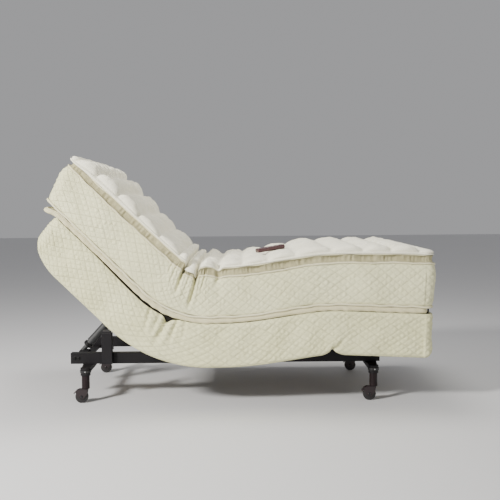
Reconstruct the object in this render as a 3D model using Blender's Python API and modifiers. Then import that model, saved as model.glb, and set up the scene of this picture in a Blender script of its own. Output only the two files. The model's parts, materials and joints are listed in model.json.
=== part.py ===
"""Twin adjustable bed: a caster-mounted steel under-frame carrying four hinged, upholstered deck sections,
their two lift actuators, a matching mattress and a handset. It is posed with the head raised and the knees
slightly up. +X points to the foot of the bed, +Y to its far side, +Z up, and the floor is Z = 0."""

import math

import bmesh
import bpy
from mathutils import Vector

# ---------------------------------------------------------------- driving dimensions (metres, degrees)
BED_WIDTH = 0.965
BACK_LENGTH = 0.756
SEAT_LENGTH = 0.3724
THIGH_LENGTH = 0.400
FOOT_LENGTH = 0.508
HIP_X = -0.3463
PIVOT_Z = 0.363

BACK_ANGLE = 44.5
BACK_MAX = 55.0
THIGH_ANGLE = 8.5
THIGH_MAX = 35.0
KNEE_BEND = 11.0
KNEE_MAX = 45.3

BASE_TOP = 0.052
PAD_BOTTOM = 0.027
SKIRT_BOTTOM = -0.168
SKIRT = 0.022
CUTTER_DEPTH = -0.300
PAST_THE_HINGE = -0.100
MATTRESS = 0.290
GAP = 0.0003
HINGE_GAP = 0.0005

TUBE = 0.025
TUBE_ROWS = (-0.40, -0.20, 0.0, 0.20, 0.40)
CROSS_OFFSET = 0.030
KNUCKLE_RADIUS = 0.0125
SHAFT_RADIUS = 0.008
SHAFT_CLEARANCE = 0.0003
SHAFT_HALF_LENGTH = 0.455
KNUCKLE_WIDTH = 0.024
FIXED_KNUCKLES = (-0.405, -0.105, 0.105, 0.405)
MOVING_KNUCKLES = (-0.375, -0.075, 0.075, 0.375)
FRAME_START = 0.0185
PIN_RADIUS = 0.006
PIN_HOLE_RADIUS = 0.0063

DECK_HALF_WIDTH = 0.455
DECK_LOW = 0.0128
DECK_HIGH = 0.0267

RETAINER_U = 0.4965
RETAINER_V = 0.0620
RETAINER_FOOT_V = 0.0100
RETAINER_HALF_WIDTH = 0.440
RETAINER_RADIUS = 0.004

RAIL_OUTER = 0.262
RAIL_WIDTH = 0.040
RAIL_LOW = 0.175
RAIL_HIGH = 0.229
RAIL_HEAD = -0.842
RAIL_FOOT = 0.717
RAIL_WALL = 0.003

LEG_Y = 0.355
LEG_HEAD_X = -0.750
LEG_FOOT_X = 0.670
LEG_RADIUS = 0.0195
LEG_LOW = 0.0705
LEG_HIGH = 0.166
COLLAR_RADIUS = 0.0245
COLLAR_LOW = 0.137
CASTER_TRAIL = 0.020
WHEEL_RADIUS = 0.0318
WHEEL_HALF_WIDTH = 0.0105
CHEEK_THICKNESS = 0.003
CHEEK_INNER = WHEEL_HALF_WIDTH + 0.0012
AXLE_RADIUS = 0.004

POST_X = -0.6545
POST_LENGTH = 0.053
POST_TOP = 0.335
POST_DEPTH = 0.030
BUMPER_TOP = 0.3495
BUMPER_HALF_LENGTH = 0.020

HEAD_PIVOT = (-0.840, 0.190)
HEAD_ACTUATOR_ANGLE = 47.0
HEAD_ACTUATOR_REACH = 0.4356
LEG_PIVOT = (-0.285, 0.215)
LEG_LIFT_POINT = (0.140, -0.100)
LINK_PIVOT = (0.3987, 0.308)
LINK_POINT = (0.250, -0.040)

HANDSET = (0.150, 0.050, 0.022)
HANDSET_PLACE = (0.200, -0.130)
HANDSET_YAW = 20.0
BUTTON_TRAVEL = 0.0012
BUTTON_PLACES = ((0.040, 0.010), (0.040, -0.010), (0.012, 0.010), (0.012, -0.010))

HALF_WIDTH = BED_WIDTH / 2
HALF_TUBE = TUBE / 2
THIGH_X = HIP_X + SEAT_LENGTH
MATTRESS_LOW = BASE_TOP + 0.0005
MATTRESS_HIGH = BASE_TOP + MATTRESS
HIP_HALF = BACK_MAX / 2 + 0.1
THIGH_HALF = THIGH_MAX / 2 + 0.1
KNEE_HALF = KNEE_MAX / 2 + 0.2


# ---------------------------------------------------------------- scene, collections and materials
def clear_scene():
    for obj in list(bpy.data.objects):
        bpy.data.objects.remove(obj, do_unlink=True)


def new_collection(name):
    collection = bpy.data.collections.new(name)
    bpy.context.scene.collection.children.link(collection)
    return collection


def material(name, color, roughness, metallic=0.0):
    made = bpy.data.materials.new(name)
    made.use_nodes = True
    shader = made.node_tree.nodes["Principled BSDF"]
    shader.inputs["Base Color"].default_value = (*color, 1.0)
    shader.inputs["Roughness"].default_value = roughness
    shader.inputs["Metallic"].default_value = metallic
    return made


clear_scene()
PARTS = new_collection("adjustable_bed")
CUTTERS = new_collection("cutters")
STEEL = material("painted_steel", (0.035, 0.032, 0.034), 0.45, 0.3)
LEG_PAINT = material("leg_paint", (0.040, 0.022, 0.022), 0.40, 0.2)
BRIGHT = material("bright_steel", (0.55, 0.55, 0.56), 0.30, 1.0)
QUILT = material("quilted_cover", (0.76, 0.74, 0.62), 0.90)
TICKING = material("mattress_cover", (0.80, 0.78, 0.68), 0.90)
PLYWOOD = material("plywood", (0.55, 0.38, 0.22), 0.70)
RUBBER = material("rubber", (0.020, 0.020, 0.020), 0.80)
NYLON = material("caster_plastic", (0.045, 0.028, 0.028), 0.50)
GREY_PLASTIC = material("actuator_plastic", (0.080, 0.088, 0.085), 0.50)
HANDSET_PLASTIC = material("handset_plastic", (0.085, 0.028, 0.030), 0.40)
BUTTON_RUBBER = material("button_rubber", (0.70, 0.68, 0.62), 0.60)


# ---------------------------------------------------------------- building blocks
def place(obj, name, look, parent):
    """Names an object, gives it its material and its frame, and files it with the parts."""
    obj.name = name
    obj.data.name = name
    obj.data.materials.clear()
    obj.data.materials.append(look)
    obj.parent = parent
    for collection in list(obj.users_collection):
        collection.objects.unlink(obj)
    PARTS.objects.link(obj)
    return obj


def frame_at(name, location, rotation=(0.0, 0.0, 0.0), parent=None):
    """An empty that carries one section or one moving piece."""
    empty = bpy.data.objects.new(name, None)
    empty.location = location
    empty.rotation_euler = rotation
    empty.parent = parent
    empty.empty_display_size = 0.05
    PARTS.objects.link(empty)
    return empty


def box(name, low, high, look, parent=None, bevel=0.0):
    bpy.ops.mesh.primitive_cube_add(size=1.0)
    obj = bpy.context.object
    size = [high[i] - low[i] for i in range(3)]
    for vertex in obj.data.vertices:
        vertex.co = [vertex.co[i] * size[i] for i in range(3)]
    obj.location = [(high[i] + low[i]) / 2 for i in range(3)]
    if bevel:
        rounding = obj.modifiers.new("rounding", "BEVEL")
        rounding.width = bevel
        rounding.segments = 2
    return place(obj, name, look, parent)


def bar(name, start, end, radius, look, parent=None, sides=20):
    """A round bar between two points."""
    start = Vector(start)
    end = Vector(end)
    bpy.ops.mesh.primitive_cylinder_add(vertices=sides, radius=radius, depth=(end - start).length)
    obj = bpy.context.object
    obj.data.shade_smooth()
    obj.data.set_sharp_from_angle(angle=math.radians(40))
    obj.location = (start + end) / 2
    obj.rotation_euler = (end - start).to_track_quat("Z", "X").to_euler()
    return place(obj, name, look, parent)


def plate(name, outline, near, far, look, parent=None):
    """A flat outline in X and Z, filled and thickened from Y = near to Y = far."""
    curve = bpy.data.curves.new(name, "CURVE")
    curve.dimensions = "2D"
    curve.fill_mode = "BOTH"
    curve.extrude = (far - near) / 2
    spline = curve.splines.new("POLY")
    spline.points.add(len(outline) - 1)
    for point, (x, z) in zip(spline.points, outline):
        point.co = (x, z, 0.0, 1.0)
    spline.use_cyclic_u = True
    flat = bpy.data.objects.new(name + "_outline", curve)
    CUTTERS.objects.link(flat)
    bpy.context.view_layer.update()
    graph = bpy.context.evaluated_depsgraph_get()
    mesh = bpy.data.meshes.new_from_object(flat.evaluated_get(graph))
    bpy.data.objects.remove(flat, do_unlink=True)
    for vertex in mesh.vertices:
        x, z, y = vertex.co
        vertex.co = (x, (near + far) / 2 - y, z)
    weld_mesh(mesh)
    obj = bpy.data.objects.new(name, mesh)
    CUTTERS.objects.link(obj)
    return place(obj, name, look, parent)


def weld_mesh(mesh):
    shape = bmesh.new()
    shape.from_mesh(mesh)
    bmesh.ops.remove_doubles(shape, verts=shape.verts, dist=0.00001)
    bmesh.ops.recalc_face_normals(shape, faces=shape.faces)
    shape.to_mesh(mesh)
    shape.free()


def turned(name, profile, look, parent=None, steps=24):
    """A solid of revolution about its own Z. The profile is (radius, height), down the outer side."""
    mesh = bpy.data.meshes.new(name)
    mesh.from_pydata([(r, 0.0, z) for r, z in profile], closed_edges(profile), [])
    obj = bpy.data.objects.new(name, mesh)
    PARTS.objects.link(obj)
    spin = obj.modifiers.new("spin", "SCREW")
    spin.steps = steps
    spin.render_steps = steps
    spin.use_merge_vertices = True
    spin.merge_threshold = 0.00005
    spin.use_smooth_shade = True
    return place(obj, name, look, parent)


def closed_edges(profile):
    """Edges along a profile, closed into a ring when it doesn't start and end on the axis."""
    edges = [(i, i + 1) for i in range(len(profile) - 1)]
    if profile[0][0] > 0.0:
        edges.append((len(profile) - 1, 0))
    return edges


def helper(obj):
    """Turns an object into a hidden tool for a Boolean."""
    obj.display_type = "WIRE"
    obj.hide_render = True
    for collection in list(obj.users_collection):
        collection.objects.unlink(obj)
    CUTTERS.objects.link(obj)
    return obj


def combine(target, tool, operation):
    step = target.modifiers.new(operation.lower(), "BOOLEAN")
    step.operation = operation
    step.object = helper(tool)


def weld(target, *tools):
    for tool in tools:
        combine(target, tool, "UNION")


def cut(target, *tools):
    for tool in tools:
        combine(target, tool, "DIFFERENCE")


def rotated(angle, tilt=0.0, turn=0.0):
    return (math.radians(tilt), -math.radians(angle), math.radians(turn))


# ---------------------------------------------------------------- section frames and hinge wedges
BACK = frame_at("back_pivot", (HIP_X, 0, PIVOT_Z), rotated(BACK_ANGLE, turn=180))
SEAT = frame_at("seat_origin", (HIP_X, 0, PIVOT_Z))
THIGH = frame_at("thigh_pivot", (THIGH_X, 0, PIVOT_Z), rotated(THIGH_ANGLE))
FOOT = frame_at("knee_pivot", (THIGH_LENGTH, 0, 0), rotated(-KNEE_BEND), THIGH)


def closing_face(half_angle):
    """How far a face stands back from a hinge that closes above its axis, at height v."""
    return lambda v: HINGE_GAP + max(v, 0.0) * math.tan(math.radians(half_angle))


def opening_face(half_angle):
    """The same for a hinge that closes below its axis."""
    return lambda v: HINGE_GAP + max(-v, 0.0) * math.tan(math.radians(half_angle))


HIP_FACE = closing_face(HIP_HALF)
THIGH_FACE = closing_face(THIGH_HALF)
KNEE_FACE = opening_face(KNEE_HALF)


def start_points(face, low, high):
    """The edge of a side outline at the section's first hinge, from top to bottom."""
    levels = [high, 0.0, low] if low < 0.0 < high else [high, low]
    return [(face(v), v) for v in levels]


def end_points(face, length, low, high):
    return [(length - u, v) for u, v in reversed(start_points(face, low, high))]


# ---------------------------------------------------------------- upholstered base sections
BACK_END = [
    (0.640, -0.162),
    (0.690, -0.150),
    (0.720, -0.125),
    (0.756, 0.030),
    (0.745, BASE_TOP),
]
BACK_INSIDE_END = [(0.640, CUTTER_DEPTH), (0.675, -0.130), (0.722, PAD_BOTTOM)]
FOOT_END = [(0.485, SKIRT_BOTTOM), (0.508, -0.130), (0.508, 0.038), (0.496, BASE_TOP)]
FOOT_INSIDE_END = [(0.4855, CUTTER_DEPTH), (0.4855, PAD_BOTTOM)]


def base_section(name, parent, outline, inside_end, inside_start):
    """A tray turned upside down: a padded top with an upholstered skirt that hides the deck frame."""
    tray = plate(name, outline, -HALF_WIDTH, HALF_WIDTH, QUILT, parent)
    hollow = [(inside_start, PAD_BOTTOM), (inside_start, CUTTER_DEPTH)] + inside_end
    inner = HALF_WIDTH - SKIRT
    cut(tray, plate(name + "_hollow", hollow, -inner, inner, QUILT, parent))
    return tray


def base_sections():
    low = SKIRT_BOTTOM
    high = BASE_TOP
    seat_end = SEAT_LENGTH - PAST_THE_HINGE
    thigh_end = THIGH_LENGTH - PAST_THE_HINGE
    base_section(
        "back_foundation",
        BACK,
        start_points(HIP_FACE, low, high) + BACK_END,
        BACK_INSIDE_END,
        PAST_THE_HINGE,
    )
    base_section(
        "seat_foundation",
        SEAT,
        start_points(HIP_FACE, low, high) + end_points(THIGH_FACE, SEAT_LENGTH, low, high),
        [(seat_end, CUTTER_DEPTH), (seat_end, PAD_BOTTOM)],
        PAST_THE_HINGE,
    )
    base_section(
        "thigh_foundation",
        THIGH,
        start_points(THIGH_FACE, low, high) + end_points(KNEE_FACE, THIGH_LENGTH, low, high),
        [(thigh_end, CUTTER_DEPTH), (thigh_end, PAD_BOTTOM)],
        PAST_THE_HINGE,
    )
    foot = base_section(
        "foot_foundation",
        FOOT,
        start_points(KNEE_FACE, low, high) + FOOT_END,
        FOOT_INSIDE_END,
        PAST_THE_HINGE,
    )
    for side in (-1, 1):
        y = side * RETAINER_HALF_WIDTH
        socket = bar(
            f"retainer_socket_{side}",
            (RETAINER_U, y, RETAINER_FOOT_V - 0.003),
            (RETAINER_U, y, BASE_TOP + 0.01),
            RETAINER_RADIUS + 0.0005,
            QUILT,
            FOOT,
        )
        cut(foot, socket)


# ---------------------------------------------------------------- mattress, one block to a section
BACK_MATTRESS_END = [(0.822, MATTRESS_LOW), (0.900, 0.283), (0.868, MATTRESS_HIGH)]
FOOT_MATTRESS_END = [
    (0.484, MATTRESS_LOW),
    (0.486, 0.070),
    (0.512, 0.110),
    (0.512, 0.300),
    (0.498, MATTRESS_HIGH),
]


def mattress_blocks():
    low = MATTRESS_LOW
    high = MATTRESS_HIGH
    shapes = {
        "mattress_back": (BACK, start_points(HIP_FACE, low, high) + BACK_MATTRESS_END),
        "mattress_seat": (
            SEAT,
            start_points(HIP_FACE, low, high) + end_points(THIGH_FACE, SEAT_LENGTH, low, high),
        ),
        "mattress_thigh": (
            THIGH,
            start_points(THIGH_FACE, low, high) + end_points(KNEE_FACE, THIGH_LENGTH, low, high),
        ),
        "mattress_foot": (FOOT, start_points(KNEE_FACE, low, high) + FOOT_MATTRESS_END),
    }
    for name, (parent, outline) in shapes.items():
        plate(name, outline, -HALF_WIDTH, HALF_WIDTH, TICKING, parent)


# ---------------------------------------------------------------- decks and their steel frames
def deck_panel(name, parent, start, end):
    box(
        name,
        (start, -DECK_HALF_WIDTH, DECK_LOW),
        (end, DECK_HALF_WIDTH, DECK_HIGH),
        PLYWOOD,
        parent,
        bevel=0.002,
    )


def deck_frame(name, parent, start, end, crosses):
    """Five lengthwise tubes joined by cross tubes at the given distances from the first hinge."""
    half = HALF_TUBE - 0.0002
    first = TUBE_ROWS[0]
    frame = box(
        name,
        (start, first - HALF_TUBE, -HALF_TUBE),
        (end, first + HALF_TUBE, HALF_TUBE),
        STEEL,
        parent,
    )
    for row, y in enumerate(TUBE_ROWS[1:]):
        side = box(
            f"{name}_row_{row}",
            (start, y - HALF_TUBE, -HALF_TUBE),
            (end, y + HALF_TUBE, HALF_TUBE),
            STEEL,
            parent,
        )
        weld(frame, side)
    for number, u in enumerate(crosses):
        reach = -TUBE_ROWS[0] + 0.0127
        cross = box(
            f"{name}_cross_{number}",
            (u - HALF_TUBE + 0.0003, -reach, -half),
            (u + HALF_TUBE - 0.0003, reach, half),
            STEEL,
            parent,
        )
        weld(frame, cross)
    return frame


def knuckles(frame, parent, u, places, side):
    """Hinge barrels at u, on webs that reach back to the frame's cross tube, side +1 or -1 along U."""
    for number, y in enumerate(places):
        near = y - KNUCKLE_WIDTH / 2
        far = y + KNUCKLE_WIDTH / 2
        tag = f"{frame.name}_knuckle_{side}_{number}"
        barrel = bar(tag, (u, near, 0), (u, far, 0), KNUCKLE_RADIUS, STEEL, parent, 16)
        inner = u + side * 0.0095
        outer = u + side * 0.0200
        web = box(
            tag + "_web",
            (min(inner, outer), near + 0.001, -0.007),
            (max(inner, outer), far - 0.001, 0.007),
            STEEL,
            parent,
        )
        weld(frame, barrel, web)


def shaft_hole(frame, parent, u):
    hole = bar(
        f"{frame.name}_hole_{u:.2f}",
        (u, -0.6, 0),
        (u, 0.6, 0),
        SHAFT_RADIUS + SHAFT_CLEARANCE,
        STEEL,
        parent,
        16,
    )
    cut(frame, hole)


def hinge_shaft(name, parent, u):
    bar(name, (u, -SHAFT_HALF_LENGTH, 0), (u, SHAFT_HALF_LENGTH, 0), SHAFT_RADIUS, BRIGHT, parent, 16)


def back_section():
    frame = deck_frame("back_deck_frame", BACK, FRAME_START, 0.705, (CROSS_OFFSET, 0.205, 0.3085, 0.690))
    lift_plate = plate(
        "lift_plate",
        [(0.200, 0.004), (0.200, -0.0092), (0.318, -0.0288), (0.318, 0.004)],
        -0.045,
        0.045,
        STEEL,
        BACK,
    )
    weld(frame, lift_plate)
    knuckles(frame, BACK, 0.0, [-y for y in MOVING_KNUCKLES], 1)
    shaft_hole(frame, BACK, 0.0)
    deck_panel("back_deck", BACK, 0.016, 0.716)


def seat_section():
    last = SEAT_LENGTH - CROSS_OFFSET
    end = SEAT_LENGTH - FRAME_START
    frame = deck_frame("seat_deck_frame", SEAT, FRAME_START, end, (CROSS_OFFSET, last))
    knuckles(frame, SEAT, 0.0, FIXED_KNUCKLES, 1)
    knuckles(frame, SEAT, SEAT_LENGTH, FIXED_KNUCKLES, -1)
    for u in (CROSS_OFFSET, last):
        for side in (-1, 1):
            y = side * (RAIL_OUTER - RAIL_WIDTH / 2)
            upright = box(
                f"upright_{u:.2f}_{side}",
                (u - 0.0115, y - 0.016, RAIL_HIGH + GAP - PIVOT_Z),
                (u + 0.0115, y + 0.016, -0.004),
                STEEL,
                SEAT,
            )
            foot_plate = box(
                f"foot_plate_{u:.2f}_{side}",
                (u - 0.026, y - 0.0185, RAIL_HIGH + GAP - PIVOT_Z),
                (u + 0.026, y + 0.0185, RAIL_HIGH + 0.0053 - PIVOT_Z),
                STEEL,
                SEAT,
            )
            weld(frame, upright, foot_plate)
    shaft_hole(frame, SEAT, 0.0)
    shaft_hole(frame, SEAT, SEAT_LENGTH)
    deck_panel("seat_deck", SEAT, 0.016, SEAT_LENGTH - 0.011)
    hinge_shaft("hip_shaft", SEAT, 0.0)
    hinge_shaft("thigh_shaft", SEAT, SEAT_LENGTH)


def thigh_section():
    u, v = LEG_LIFT_POINT
    last = THIGH_LENGTH - CROSS_OFFSET
    end = THIGH_LENGTH - FRAME_START
    frame = deck_frame("thigh_deck_frame", THIGH, FRAME_START, end, (CROSS_OFFSET, u, last))
    knuckles(frame, THIGH, 0.0, MOVING_KNUCKLES, 1)
    knuckles(frame, THIGH, THIGH_LENGTH, FIXED_KNUCKLES, -1)
    ear = [(u - 0.020, -0.005), (u - 0.011, v - 0.012), (u + 0.011, v - 0.012), (u + 0.020, -0.005)]
    for side in (-1, 1):
        y = side * 0.018
        weld(frame, plate(f"lift_ear_{side}", ear, y - 0.003, y + 0.003, STEEL, THIGH))
    weld(frame, bar("lift_pin", (u, -0.019, v), (u, 0.019, v), PIN_RADIUS, STEEL, THIGH, 12))
    shaft_hole(frame, THIGH, 0.0)
    shaft_hole(frame, THIGH, THIGH_LENGTH)
    deck_panel("thigh_deck", THIGH, 0.011, THIGH_LENGTH - 0.005)
    hinge_shaft("knee_shaft", THIGH, THIGH_LENGTH)


def foot_section():
    u, v = LINK_POINT
    frame = deck_frame("foot_deck_frame", FOOT, FRAME_START, 0.482, (CROSS_OFFSET, u, 0.468))
    knuckles(frame, FOOT, 0.0, MOVING_KNUCKLES, 1)
    lug = [(u - 0.018, -0.005), (u - 0.010, v - 0.011), (u + 0.010, v - 0.011), (u + 0.018, -0.005)]
    for side in (-1, 1):
        inner = side * 0.160
        outer = side * 0.168
        weld(frame, plate(f"link_lug_{side}", lug, min(inner, outer), max(inner, outer), STEEL, FOOT))
        tip = side * 0.186
        weld(frame, bar(f"link_pin_{side}", (u, inner, v), (u, tip, v), PIN_RADIUS, STEEL, FOOT, 12))
    shaft_hole(frame, FOOT, 0.0)
    deck_panel("foot_deck", FOOT, 0.005, 0.484)


# ---------------------------------------------------------------- mattress retainer at the foot
def mattress_retainer():
    bend = 0.004
    route = [
        (-RETAINER_HALF_WIDTH, RETAINER_FOOT_V),
        (-RETAINER_HALF_WIDTH, RETAINER_V - bend),
        (-RETAINER_HALF_WIDTH + bend, RETAINER_V),
        (RETAINER_HALF_WIDTH - bend, RETAINER_V),
        (RETAINER_HALF_WIDTH, RETAINER_V - bend),
        (RETAINER_HALF_WIDTH, RETAINER_FOOT_V),
    ]
    curve = bpy.data.curves.new("mattress_retainer", "CURVE")
    curve.dimensions = "3D"
    curve.bevel_depth = RETAINER_RADIUS
    curve.bevel_resolution = 2
    curve.use_fill_caps = True
    spline = curve.splines.new("POLY")
    spline.points.add(len(route) - 1)
    for point, (y, v) in zip(spline.points, route):
        point.co = (RETAINER_U, y, v, 1.0)
    obj = bpy.data.objects.new("mattress_retainer", curve)
    PARTS.objects.link(obj)
    place(obj, "mattress_retainer", STEEL, FOOT)


# ---------------------------------------------------------------- fixed under-frame
def side_rail(name, side):
    """A hollow rectangular rail with an upright that carries the foot link's pivot."""
    outer = side * RAIL_OUTER
    inner = side * (RAIL_OUTER - RAIL_WIDTH)
    near = min(outer, inner)
    far = max(outer, inner)
    rail = box(name, (RAIL_HEAD, near, RAIL_LOW), (RAIL_FOOT, far, RAIL_HIGH), STEEL)
    x, z = LINK_PIVOT
    y = side * 0.2285
    ear = [(x - 0.030, 0.2270), (x - 0.016, z + 0.014), (x + 0.016, z + 0.014), (x + 0.030, 0.2270)]
    weld(rail, plate(name + "_link_ear", ear, y - 0.004, y + 0.004, STEEL))
    hollow = box(
        name + "_hollow",
        (RAIL_HEAD - 0.01, near + RAIL_WALL, RAIL_LOW + RAIL_WALL),
        (RAIL_FOOT + 0.01, far - RAIL_WALL, RAIL_HIGH - RAIL_WALL),
        STEEL,
    )
    start = (x, y - 0.02, z)
    end = (x, y + 0.02, z)
    pivot_hole = bar(name + "_pivot_hole", start, end, PIN_HOLE_RADIUS, STEEL, None, 12)
    cut(rail, hollow, pivot_hole)


def cross_member(name, start, end, top):
    reach = RAIL_OUTER - RAIL_WIDTH - GAP
    return box(name, (start, -reach, RAIL_LOW + GAP), (end, reach, top), STEEL)


def pivot_ears(member, pivot, root_x, low, high):
    """Two ears from a cross member to an actuator's pivot, with its pin."""
    x, z = pivot
    away = 1 if x > root_x else -1
    ear = [
        (root_x, low),
        (x, z - 0.011),
        (x + away * 0.010, z - 0.006),
        (x + away * 0.010, z + 0.006),
        (x, z + 0.011),
        (root_x, high),
    ]
    for side in (-1, 1):
        y = side * 0.0195
        weld(member, plate(f"{member.name}_ear_{side}", ear, y - 0.003, y + 0.003, STEEL))
    weld(member, bar(member.name + "_pin", (x, -0.0205, z), (x, 0.0205, z), PIN_RADIUS, STEEL, None, 12))


def under_frame():
    side_rail("side_rail_near", -1)
    side_rail("side_rail_far", 1)
    head = cross_member("head_cross_member", -0.815, -0.775, 0.187)
    pivot_ears(head, HEAD_PIVOT, -0.795, 0.1765, 0.199)
    middle = cross_member("middle_cross_member", -0.350, -0.320, RAIL_HIGH)
    pivot_ears(middle, LEG_PIVOT, -0.325, 0.200, 0.226)
    cross_member("foot_cross_member", 0.655, 0.695, RAIL_HIGH)
    for side, word in ((-1, "near"), (1, "far")):
        near = min(side * (RAIL_OUTER + GAP), side * (RAIL_OUTER + POST_DEPTH))
        far = max(side * (RAIL_OUTER + GAP), side * (RAIL_OUTER + POST_DEPTH))
        half = POST_LENGTH / 2
        box(
            f"support_post_{word}",
            (POST_X - half, near, RAIL_LOW + 0.002),
            (POST_X + half, far, POST_TOP),
            STEEL,
            bevel=0.003,
        )
        box(
            f"post_bumper_{word}",
            (POST_X - BUMPER_HALF_LENGTH, near + 0.003, POST_TOP + GAP),
            (POST_X + BUMPER_HALF_LENGTH, far - 0.003, BUMPER_TOP),
            RUBBER,
            bevel=0.003,
        )


def control_box():
    inner = RAIL_OUTER - RAIL_WIDTH - GAP
    low = (-0.235, -inner, 0.180)
    high = (-0.075, -0.110, 0.2285)
    case = box("control_box", low, high, GREY_PLASTIC, bevel=0.004)
    inlet = box("inlet_recess", (-0.245, -0.185, 0.193), (-0.222, -0.157, 0.213), GREY_PLASTIC)
    cut(case, inlet)


# ---------------------------------------------------------------- legs and casters
def leg_bracket(name, x, side):
    """An arm from under the rail out to a collar that grips the leg."""
    arm_width_rail = 0.033
    arm_width_leg = 0.020
    collar = bar(
        name,
        (x, side * LEG_Y, COLLAR_LOW),
        (x, side * LEG_Y, RAIL_LOW - GAP),
        COLLAR_RADIUS,
        STEEL,
        None,
        24,
    )
    root = side * (RAIL_OUTER - RAIL_WIDTH + 0.006)
    tip = side * (LEG_Y - 0.008)
    arm = box(name + "_arm", (-0.5, -0.5, -0.5), (0.5, 0.5, 0.5), STEEL)
    for vertex in arm.data.vertices:
        outward = vertex.co.y > 0
        half = arm_width_leg if outward else arm_width_rail
        vertex.co.x = x + math.copysign(half, vertex.co.x)
        depth = 0.026 if outward else 0.009
        vertex.co.z = RAIL_LOW - 0.0005 - (depth if vertex.co.z < 0 else 0.0)
        vertex.co.y = tip if outward else root
    if side < 0:
        arm.data.flip_normals()
    weld(collar, arm)
    bore = bar(
        name + "_bore",
        (x, side * LEG_Y, COLLAR_LOW - 0.01),
        (x, side * LEG_Y, LEG_HIGH + 0.002),
        LEG_RADIUS + GAP,
        STEEL,
        None,
        24,
    )
    cut(collar, bore)


def leg_tube(name, x, side):
    """The leg, bored from below for the caster's stem."""
    socket = 0.0080
    socket_top = 0.118
    obj = turned(
        name,
        [
            (0.0, LEG_HIGH),
            (LEG_RADIUS - 0.0015, LEG_HIGH),
            (LEG_RADIUS, LEG_HIGH - 0.0015),
            (LEG_RADIUS, LEG_LOW + 0.0015),
            (LEG_RADIUS - 0.0015, LEG_LOW),
            (socket, LEG_LOW),
            (socket, socket_top),
            (0.0, socket_top),
        ],
        LEG_PAINT,
        None,
        20,
    )
    obj.location = (x, side * LEG_Y, 0.0)


def caster(name, x, side):
    """A hooded fork on a swivel stem, its wheel and its brake pedal."""
    stem_frame = frame_at(name + "_swivel", (x, side * LEG_Y, 0.0))
    axle = -CASTER_TRAIL
    centre = WHEEL_RADIUS
    cheek = [
        (axle - 0.010, centre - 0.010),
        (axle + 0.008, centre - 0.012),
        (axle + 0.026, centre + 0.010),
        (0.012, 0.0695),
        (-0.034, 0.0695),
        (axle - 0.0280, centre + 0.0310),
        (axle - 0.0285, centre + 0.0220),
        (axle - 0.024, centre + 0.006),
    ]
    outer = CHEEK_INNER + CHEEK_THICKNESS
    fork = plate(name + "_fork", cheek, -outer, -CHEEK_INNER, NYLON, stem_frame)
    weld(fork, plate(name + "_cheek", cheek, CHEEK_INNER, outer, NYLON, stem_frame))
    inset = outer - 0.0004
    roof = box(name + "_roof", (-0.0315, -inset, 0.0655), (0.0115, inset, 0.0690), NYLON, stem_frame)
    stem = bar(name + "_stem", (0, 0, 0.0670), (0, 0, 0.1100), 0.0075, NYLON, stem_frame, 16)
    axle_pin = bar(
        name + "_axle",
        (axle, -outer + 0.0006, centre),
        (axle, outer - 0.0006, centre),
        AXLE_RADIUS,
        NYLON,
        stem_frame,
        16,
    )
    weld(fork, roof, stem, axle_pin)
    brake_x = axle - 0.0235
    brake_z = centre + 0.0285
    start = (brake_x, 0.0009 - outer, brake_z)
    end = (brake_x, outer - 0.0009, brake_z)
    weld(fork, bar(name + "_brake_pin", start, end, 0.0018, NYLON, stem_frame, 8))

    width = WHEEL_HALF_WIDTH
    wheel = turned(
        name + "_wheel",
        [
            (AXLE_RADIUS + GAP, width),
            (0.012, width),
            (0.024, width - 0.002),
            (WHEEL_RADIUS, width - 0.004),
            (WHEEL_RADIUS, 0.004 - width),
            (0.024, 0.002 - width),
            (0.012, -width),
            (AXLE_RADIUS + GAP, -width),
        ],
        RUBBER,
        stem_frame,
        24,
    )
    wheel.location = (axle, 0.0, centre)
    wheel.rotation_euler = (math.radians(90), 0.0, 0.0)

    pivot = frame_at(name + "_brake_pivot", (brake_x, 0.0, brake_z), parent=stem_frame)
    pedal_outline = [
        (0.0040, 0.0005),
        (0.0015, 0.0040),
        (-0.0040, 0.0020),
        (-0.0150, -0.0095),
        (-0.0150, -0.0135),
        (-0.0120, -0.0140),
        (-0.0065, -0.0075),
        (0.0015, -0.0035),
    ]
    pedal = plate(name + "_brake", pedal_outline, -0.0110, 0.0110, NYLON, pivot)
    cut(pedal, bar(name + "_brake_hole", (0, -0.02, 0), (0, 0.02, 0), 0.0022, NYLON, pivot, 8))


def legs_and_casters():
    for end, x in (("head", LEG_HEAD_X), ("foot", LEG_FOOT_X)):
        for word, side in (("near", -1), ("far", 1)):
            leg_bracket(f"leg_bracket_{end}_{word}", x, side)
            leg_tube(f"leg_{end}_{word}", x, side)
            caster(f"caster_{end}_{word}", x, side)


# ---------------------------------------------------------------- actuators and foot link
def lift_point(parent_x, parent_z, angle, u, v):
    """World X and Z of a point (u, v) on a section that starts at a pivot and rises at an angle."""
    c = math.cos(math.radians(angle))
    s = math.sin(math.radians(angle))
    return parent_x + u * c - v * s, parent_z + u * s + v * c


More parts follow.
